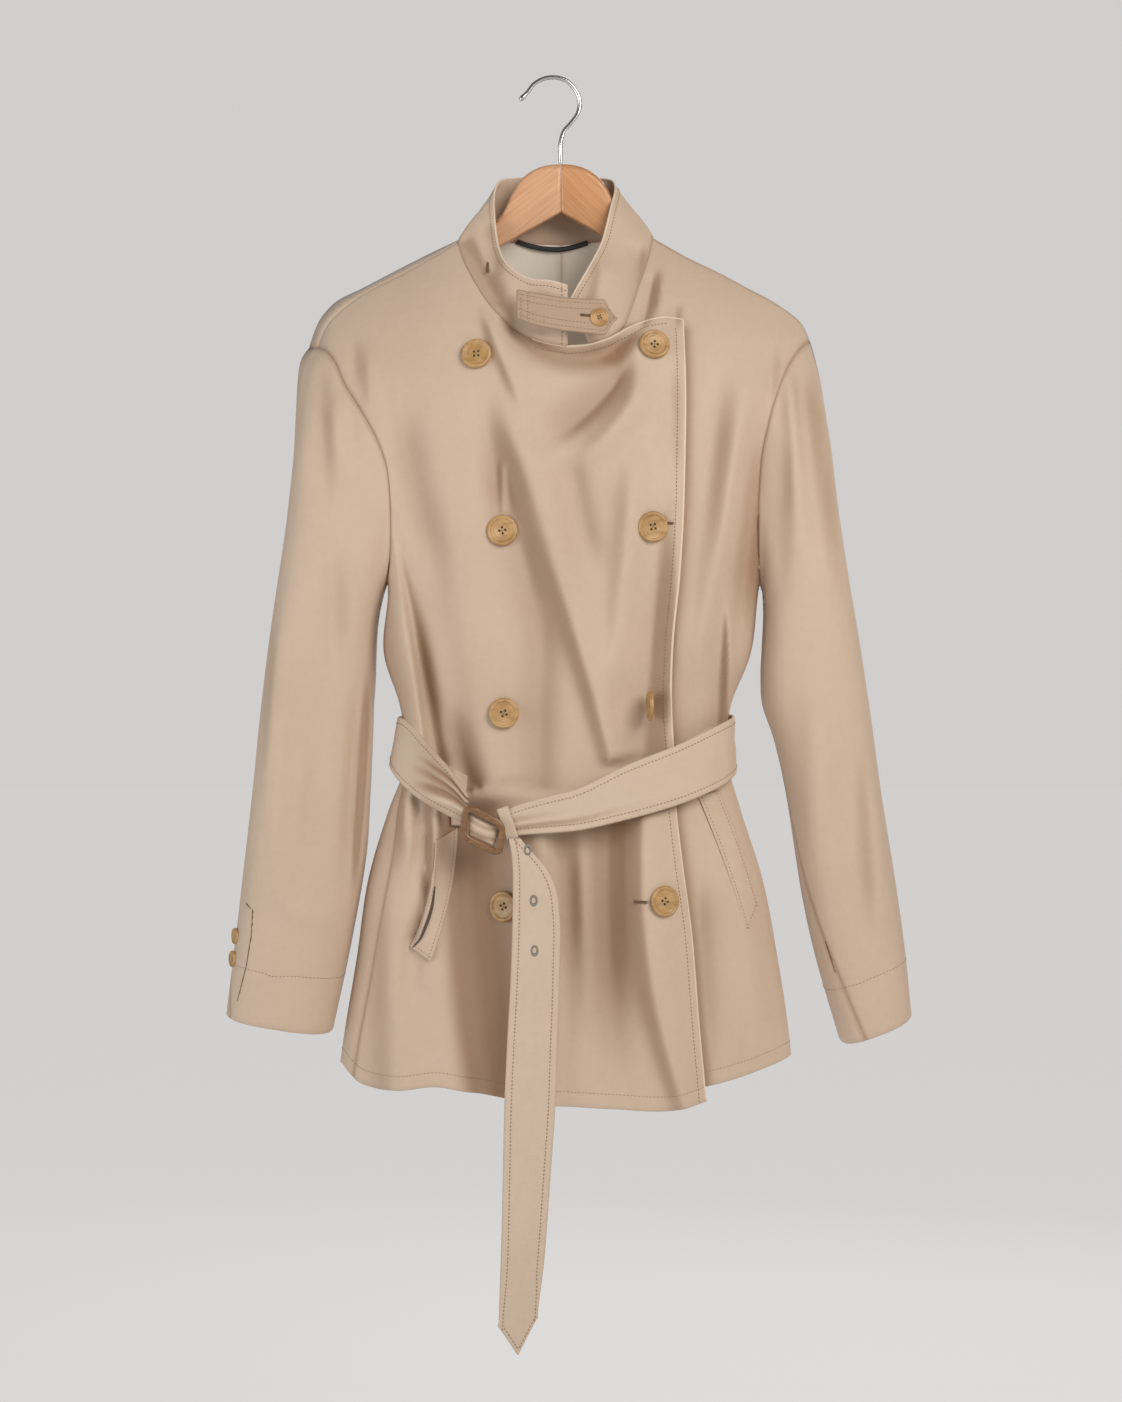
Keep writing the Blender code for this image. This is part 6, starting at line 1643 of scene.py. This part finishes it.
# %% Fold through the buckle
FOLD_DEPTH = -95.8
FOLD_BULGE = 4.5
FOLD_HALF = (0.74, 0.70)  # how much of the window's half length and half height it fills
u = np.linspace(-FOLD_HALF[0], FOLD_HALF[0], 60)[None, :, None]
v = np.linspace(FOLD_HALF[1], -FOLD_HALF[1], 70)[:, None, None]
fold_points = middle + along * u * (1 - 0.16 * v - 0.12 * v * v) + down * v
bulge = (1 - (u / FOLD_HALF[0]) ** 2) * (1 - (v / FOLD_HALF[1]) ** 2)
ripple = np.sin(9.0 * v + 2.2 * u * u + 1.1 * u + 0.6)
inside = 1 - np.maximum(np.abs(u) / FOLD_HALF[0], np.abs(v) / FOLD_HALF[1]) ** 4
fold_points[..., 1] = FOLD_DEPTH - (FOLD_BULGE * bulge + 0.8 * ripple * inside)[..., 0]
shade = np.clip(0.75 * (1 - inside) + 0.55 * np.maximum(-ripple, 0), 0, 1)[..., 0]
fold = cloth("belt_fold_cloth", fold_points, BELT_CLOTH, coat_pale, deep=shade)
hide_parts("belt_fold")
print("fold", fold_points.shape)

# %% Keeper
KEEPER = dict(x_top=-41.5, x_bottom=-32.5, half_width=4.2, turn=-15.2, slack=2.6, overhang=2.8,
              tilt=0.35, rounding=0.4)
k = KEEPER
angle = circle(96)[None, :]
reach = np.linspace(-1, 1, 10)[:, None]
up, out = bent(np.cos(angle), k["rounding"]), bent(np.sin(angle), k["rounding"])
_, depth = belt_point(np.radians(k["turn"]))
upper, lower = (smooth(BELT["turn"], BELT[name], k["turn"]) for name in ("upper", "lower"))
x = (k["x_top"] + k["x_bottom"]) / 2 + k["half_width"] * reach
x = x - (k["x_bottom"] - k["x_top"]) / 2 * up
y = depth + BELT_CLOTH / 2 - (BELT_CLOTH / 2 + k["slack"]) * out + 0 * reach
drop = (upper + lower) / 2 - ((lower - upper) / 2 + k["overhang"]) * up
drop = drop - k["tilt"] * k["half_width"] * reach
keeper_points = stack(x, y, drop)
keeper = cloth("belt_keeper_cloth", keeper_points, CLOTH, coat_pale, closed=True)
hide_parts("belt_keeper")
print("keeper", keeper_points.shape)

# %% [markdown]
# ## Hanger
# The board is cut in two halves and glued at a mitre in the middle, so the grain of each runs
# along its own slope. Each half is a row of rings: a half-round top and a bevelled underside
# between an upper and a lower outline. The hook is one wire, bent on a smooth line, with a rounded
# tip. The black loop inside the neck is a short sewn tape, a flattened bar.

# %% Wooden halves
WOOD_THICKNESS = 12.0
WOOD = table("x top bottom", [
    (6.8, 71.6, 113.2), (-5, 72.6, 119.6), (-14, 75.4, 124.8), (-22, 80.2, 129.2),
    (-29, 87.4, 133.1), (-35, 97.6, 136.6), (-40.5, 109, 139.7), (-50, 121.5, 145.2),
    (-63.6, 136.5, 155), (-80.6, 150.5, 167.5), (-123.7, 172.5, 191), (-158, 191.5, 208.5),
    (-163, 196, 211),
])
BEVEL = table("across down", [
    (0.99, -1.8), (0.9, -0.6), (0.72, 0.0), (-0.72, 0.0), (-0.9, -0.6), (-0.99, -1.8),
])


def wood_half(name, node_name, mirrored, look):
    """Rings along the board: a half-round top and a bevelled underside."""
    stations = path(stack(WOOD["x"], WOOD["top"]), 90)[:, 0]
    top, bottom = (smooth(-WOOD["x"], WOOD[name], -stations)[:, None] for name in ("top", "bottom"))
    stations[0] -= SEAM_GAP / 2
    radius = WOOD_THICKNESS / 2
    arc = np.linspace(-pi / 2, pi / 2, 17)[None, :]
    side = np.concatenate([radius * np.sin(arc), radius * BEVEL["across"][None]], axis=1)
    drop = np.concatenate([top + radius * (1 - np.cos(arc)), bottom + BEVEL["down"]], axis=1)
    x = stations[:, None] + 0 * drop
    if mirrored:
        x = 2 * CENTRE_X - x
    rings = stack(x, side + 0 * drop, drop)
    thing = solid_rings(name, rings[:, ::-1] if mirrored else rings, look)
    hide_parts(node_name)


wood_half("hanger_right_beech", "hanger_wood_right", False, pale_wood)
wood_half("hanger_left_beech", "hanger_wood_left", True, warm_wood)
print("hanger halves", CENTRE_X - WOOD["x"][-1], "mm long")

# %% Hook
WIRE_RADIUS = 2.0
HOOK_LINE = [(-28.1, 0, 17.4), (-22.5, 0, 12.0), (-15.3, 0, 3.3), (-7.6, 0, -0.9), (0, 0, -2.0),
             (10.2, 0, 0.2), (18.7, 0, 8.2), (22.9, 0, 19.1), (21.2, 0, 28.5), (15.3, 0, 37),
             (9.6, 0, 43.6), (6.9, 0, 52), (6.8, 0, 71.2)]
hook_line = path(HOOK_LINE, 240)
far = np.linspace(0, 1, 240) * 104  # millimetres from the tip, nearly
tip = WIRE_RADIUS * (1 + 0.22 * np.exp(-((far - 2.6) / 2.4) ** 2))
tip = tip * np.clip(far / 1.6 + 0.35, 0, 1) ** 0.5
hook = bar("hook_wire", hook_line, tip, 24, steel)
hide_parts("hook")
print("hook", hook_line.shape)

# %% Hang loop
HANG_LOOP = [(-31, 134.5), (-22, 137.5), (-8, 140.5), (8, 141), (20, 138.5), (29.5, 135.5)]
flat_line = path(HANG_LOOP, 100)
lo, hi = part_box("hang_loop")
loop_y = (lo[1] + hi[1]) / 2 / MM
line = stack(flat_line[:, 0], loop_y + 0 * flat_line[:, 0], flat_line[:, 1])
hang = bar("hang_loop_tape", line, 2.2, 20, tape, flat=0.45)
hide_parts("hang_loop")
print("hang loop at depth", round(loop_y, 1))

# %% [markdown]
# ## Cuffs and openings
# Two small buttons lie on each sleeve near its seam. A buttonhole is a slit between two rows of
# dense stitches with a bar across its end. Cutting the cloth would hardly show at this size, so the
# slit's shade is painted as a dark thread between the rows. The sleeve openings are dark stitched
# lines in the same way, painted shade in their gaps.

# %% Cuff buttons
CUFF_BUTTONS = {"right": [(9.8, 20), (10.15, 21)], "left": [(9.95, -62), (10.3, -62)]}
CUFF_BUTTON = (14.0, 3.0)
for side, rows in CUFF_BUTTONS.items():
    for i, (along, degrees) in enumerate(rows):
        node_name = f"cuff_button_{side}_{i + 1}"
        lo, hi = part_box(node_name)
        ring = {key: float(smooth(np.arange(len(column)), column, along))
                for key, column in SLEEVES[side].items()}
        turn = np.radians(degrees)
        half = (ring["outer_x"] - ring["inner_x"]) / 2
        deep = (ring["back"] - ring["front"]) / 2
        normal = unit(np.array([np.cos(turn) / half, -np.sin(turn) / deep, 0.0]))
        middle = np.array([(lo[0] + hi[0]) / 2, (lo[1] + hi[1]) / 2, -(lo[2] + hi[2]) / 2]) / MM
        back = middle - normal * CUFF_BUTTON[1] / 2
        button(node_name + "_horn", node_name, *CUFF_BUTTON, back, normal)
print(sum(map(len, CUFF_BUTTONS.values())), "cuff buttons")

# %% Places on a grid
def nearest_on(faces, x, drop):
    """The points of some grids that lie closest to places seen from the front, on their front half,
    and their outward directions."""
    points, outward = (np.concatenate([f[k].reshape(-1, 3) for f in faces]) for k in (0, 1))
    away = (points[:, 0] - np.asarray(x)[..., None]) ** 2
    away = away + (points[:, 2] - np.asarray(drop)[..., None]) ** 2 + 1e6 * (outward[:, 1] > -0.1)
    at = np.argmin(away, axis=-1)
    return points[at], outward[at]


def sewn(name, rows, look):
    """One piece from many rows of spindles, each drawn to a point at both ends."""
    rings = len(SPINDLE["along"])
    spindles = np.concatenate([row.reshape(-1, rings, SPINDLE_SIDES, 3) for row in rows])
    ends = spindles[:, [0, -1]].mean(axis=2, keepdims=True) + 0 * spindles[:, [0, -1]]
    spindles = np.concatenate([ends[:, :1], spindles, ends[:, 1:]], axis=1)
    one = cells(rings + 2, SPINDLE_SIDES, wrap=True)
    first = (rings + 2) * SPINDLE_SIDES * np.arange(len(spindles))
    faces = (one[None, :, ::-1] + first[:, None, None]).reshape(-1, 4)
    print(len(spindles), name)
    return finished(name, spindles, faces, look)


def taken(count):
    """Takes the rows sewn since there were this many, for a piece of their own."""
    rows = thread_rows[count:]
    del thread_rows[count:]
    return rows


# %% Buttonholes
SLIT_THREAD, SLIT_HALF = 0.42, 0.75  # radius of its thread, and half the width of the hole
BAR_HALF, BAR_THREAD = 1.3, 0.45
BUTTONHOLES = table("x drop length turn lift", [
    (72.4, 693.2, 12.5, 0, 1), (96.3, 381.6, 7, 4, 1), (27.4, 210.0, 8, 4, 0),
    (-54, 163, 15, 82, 0),
])


def buttonhole(centre, normal, length, turn):
    """A slit between two rows of dense stitches, its shade painted as a dark thread along it, with
    a bar of thread across its end.
    """
    level = unit(np.cross(normal, [0.0, 0.0, 1.0]))
    level = level * np.sign(level[0] + 1e-9)
    other = np.cross(normal, level)
    ahead = np.cos(np.radians(turn)) * level + np.sin(np.radians(turn)) * other
    side = np.cross(normal, ahead)
    a, b = centre - ahead * length / 2, centre + ahead * length / 2
    for s in (-1, 1):
        sew_between(a + side * s * SLIT_HALF, b + side * s * SLIT_HALF, normal, pitch=0.75,
                    length=1.1, radius=SLIT_THREAD)
    sew_between(a, b, normal, pitch=length * 0.98, length=length * 0.94, radius=SLIT_THREAD)
    sew_between(a - side * BAR_HALF, a + side * BAR_HALF, normal, pitch=2.4, length=2.4,
                radius=BAR_THREAD)


tab_face = (tab_points, -inward_normals(tab_points))
before = len(thread_rows)
for i in range(len(BUTTONHOLES["x"])):
    b = entry(BUTTONHOLES, i)
    if b["lift"]:
        place, normal = seat(b["x"], b["drop"])
    else:
        face = tab_face if b["drop"] > 200 else (collar_face, collar_out)
        place, normal = nearest_on([face], b["x"], b["drop"])
    buttonhole(place + normal * 0.25, normal, b["length"], b["turn"])
sewn("buttonholes", taken(before), thread_and_slit_shade)

# %% Cuff openings
VENTS = {
    "right": [(-257.0, 695.7), (-249.6, 702.3), (-250.7, 722.9), (-255.1, 749.3), (-262.8, 778.1)],
    "left": [(226.9, 727.8), (231.0, 741.0), (235.2, 754.2)],
}
before = len(thread_rows)
for side, corners in VENTS.items():
    for one, two in zip(corners[:-1], corners[1:]):
        t = np.linspace(0, 1, 12)[:, None]
        x, drop = ((1 - t) * np.array(one) + t * np.array(two)).T
        place, normal = nearest_on(outsides[side], x, drop)
        line = np.column_stack([x, place[:, 1], drop, normal])
        sew(line, pitch=2.0, length=3.4, radius=SLIT_THREAD)
# Dark thread along each opening: painted shade in its gap.
sewn("cuff_openings", taken(before), thread_and_slit_shade)

# %% [markdown]
# ## Edge stitching
# A row of thread runs a few millimetres inside every free edge and holds the layers flat. Each
# stitch is a small spindle on the cloth, and all rows end up in one piece. The front edge and the
# collar's rim get a thin rounded roll, whose paler colour is a painted highlight where a pressed
# edge catches the light.

# %% Edge stitching
EDGE_STITCH, HEM_STITCH = 6.4, 11.5  # distances of the stitches from the edge
LAPEL_PART = -COLUMNS_LAPEL - 2 * FINE  # columns from the free edge to a little past the lapel
over, over_in = grids["front_right"], inward["front_right"]
sew_edges(over, -over_in, "end", EDGE_STITCH, end=0.985)
sew(inset_line(over, -over_in, "top", EDGE_STITCH)[LAPEL_PART:], start=0.03, end=0.9)
for name, grid in grids.items():
    sew_edges(grid, -inward[name], "bottom", HEM_STITCH, radius=0.18)
sewn("stitches", thread_rows, thread)

# %% Pressed edges
EDGE_ROLL = 1.0
middle = over + over_in * CLOTH / 2
corner = np.concatenate([middle[:, -1], middle[-1, -2:LAPEL_PART:-1]])
# The rolls' paler colour is a painted highlight.
bar("front_edge_roll", corner, EDGE_ROLL, 12, painted_edge_highlight)
rim = collar_points[-1] + collar_out[-1] * CLOTH / 2
bar("collar_edge_roll", rim, EDGE_ROLL, 12, painted_edge_highlight, facing=(0.0, 0.0, 1.0))
print("rolls of", len(corner), "and", len(rim), "rings")

# %% [markdown]
# ## Floor, light and camera
# A plain pale floor lies well below the coat. A soft light stands at the upper right in front,
# with a weaker one at the left and one behind for the coat's back. A small light would give hard
# shadows and no light on one side would lose the folds there. The camera stands straight in front,
# level with the coat's middle, as it is seen.

# %% Floor
PALE = (0.70, 0.69, 0.68, 1.0)
FLOOR_Z = -1.45
floor_look = plain("floor", (0.15, 0.15, 0.15), 0.9, Emission_Color=PALE, Emission_Strength=0.865)
bpy.ops.mesh.primitive_plane_add(size=60.0, location=(0.0, 0.0, FLOOR_Z))
floor = bpy.context.object
floor.name = "floor"
floor.data.materials.append(floor_look)
print("floor", FLOOR_Z, "m")


# %% Lights
def soft_light(name, size, power, place, aim, colour):
    """A square lamp that faces a point. A large one gives soft shadows."""
    data = bpy.data.lights.new(name, "AREA")
    data.color = colour
    data.shape = "RECTANGLE"
    data.size, data.size_y = size, size
    data.energy = power
    lamp = bpy.data.objects.new(name, data)
    lamp.location = place
    lamp.rotation_euler = (Vector(aim) - Vector(place)).to_track_quat("-Z", "Y").to_euler()
    bpy.context.collection.objects.link(lamp)


soft_light("key", 1.6, 53.0, (1.3, -2.0, 0.7), (0.0, 0.0, -0.5), (1.0, 0.97, 0.93))
soft_light("fill", 1.6, 30.0, (-2.3, -1.3, -0.2), (0.0, 0.0, -0.6), (0.90, 0.955, 1.0))
soft_light("back", 2.0, 24.0, (0.6, 2.4, 0.4), (0.0, 0.0, -0.5), (1.0, 0.98, 0.95))
print("three soft lights")

# %% Air round the coat
AIR_SEEN, AIR_FELT = 0.90, 0.22  # strength where the camera sees it, and as light on the coat
world = bpy.data.worlds.new("studio")
world.use_nodes = True
tree = world.node_tree
air = tree.nodes["Background"]
air.inputs["Color"].default_value = PALE
seen = node(tree, "ShaderNodeLightPath")
power = node(tree, "ShaderNodeMapRange")
power.inputs["To Min"].default_value = AIR_FELT
power.inputs["To Max"].default_value = AIR_SEEN
link(tree, (seen, "Is Camera Ray", power, "Value"), (power, "Result", air, "Strength"))
bpy.context.scene.world = world
bpy.context.scene.view_settings.view_transform = "Standard"
print("world", world.name)

# %% Camera
DISTANCE, HEIGHT, LENS = 2.6, -0.528, 78.54
eye = bpy.data.cameras.new("camera")
eye.lens = LENS
eye.sensor_width = 36.0
camera = bpy.data.objects.new("camera", eye)
camera.location = (CENTRE_X * MM, -DISTANCE, HEIGHT)
camera.rotation_euler = (pi / 2, 0.0, 0.0)
bpy.context.collection.objects.link(camera)
bpy.context.scene.camera = camera
print("camera", DISTANCE, "m away")
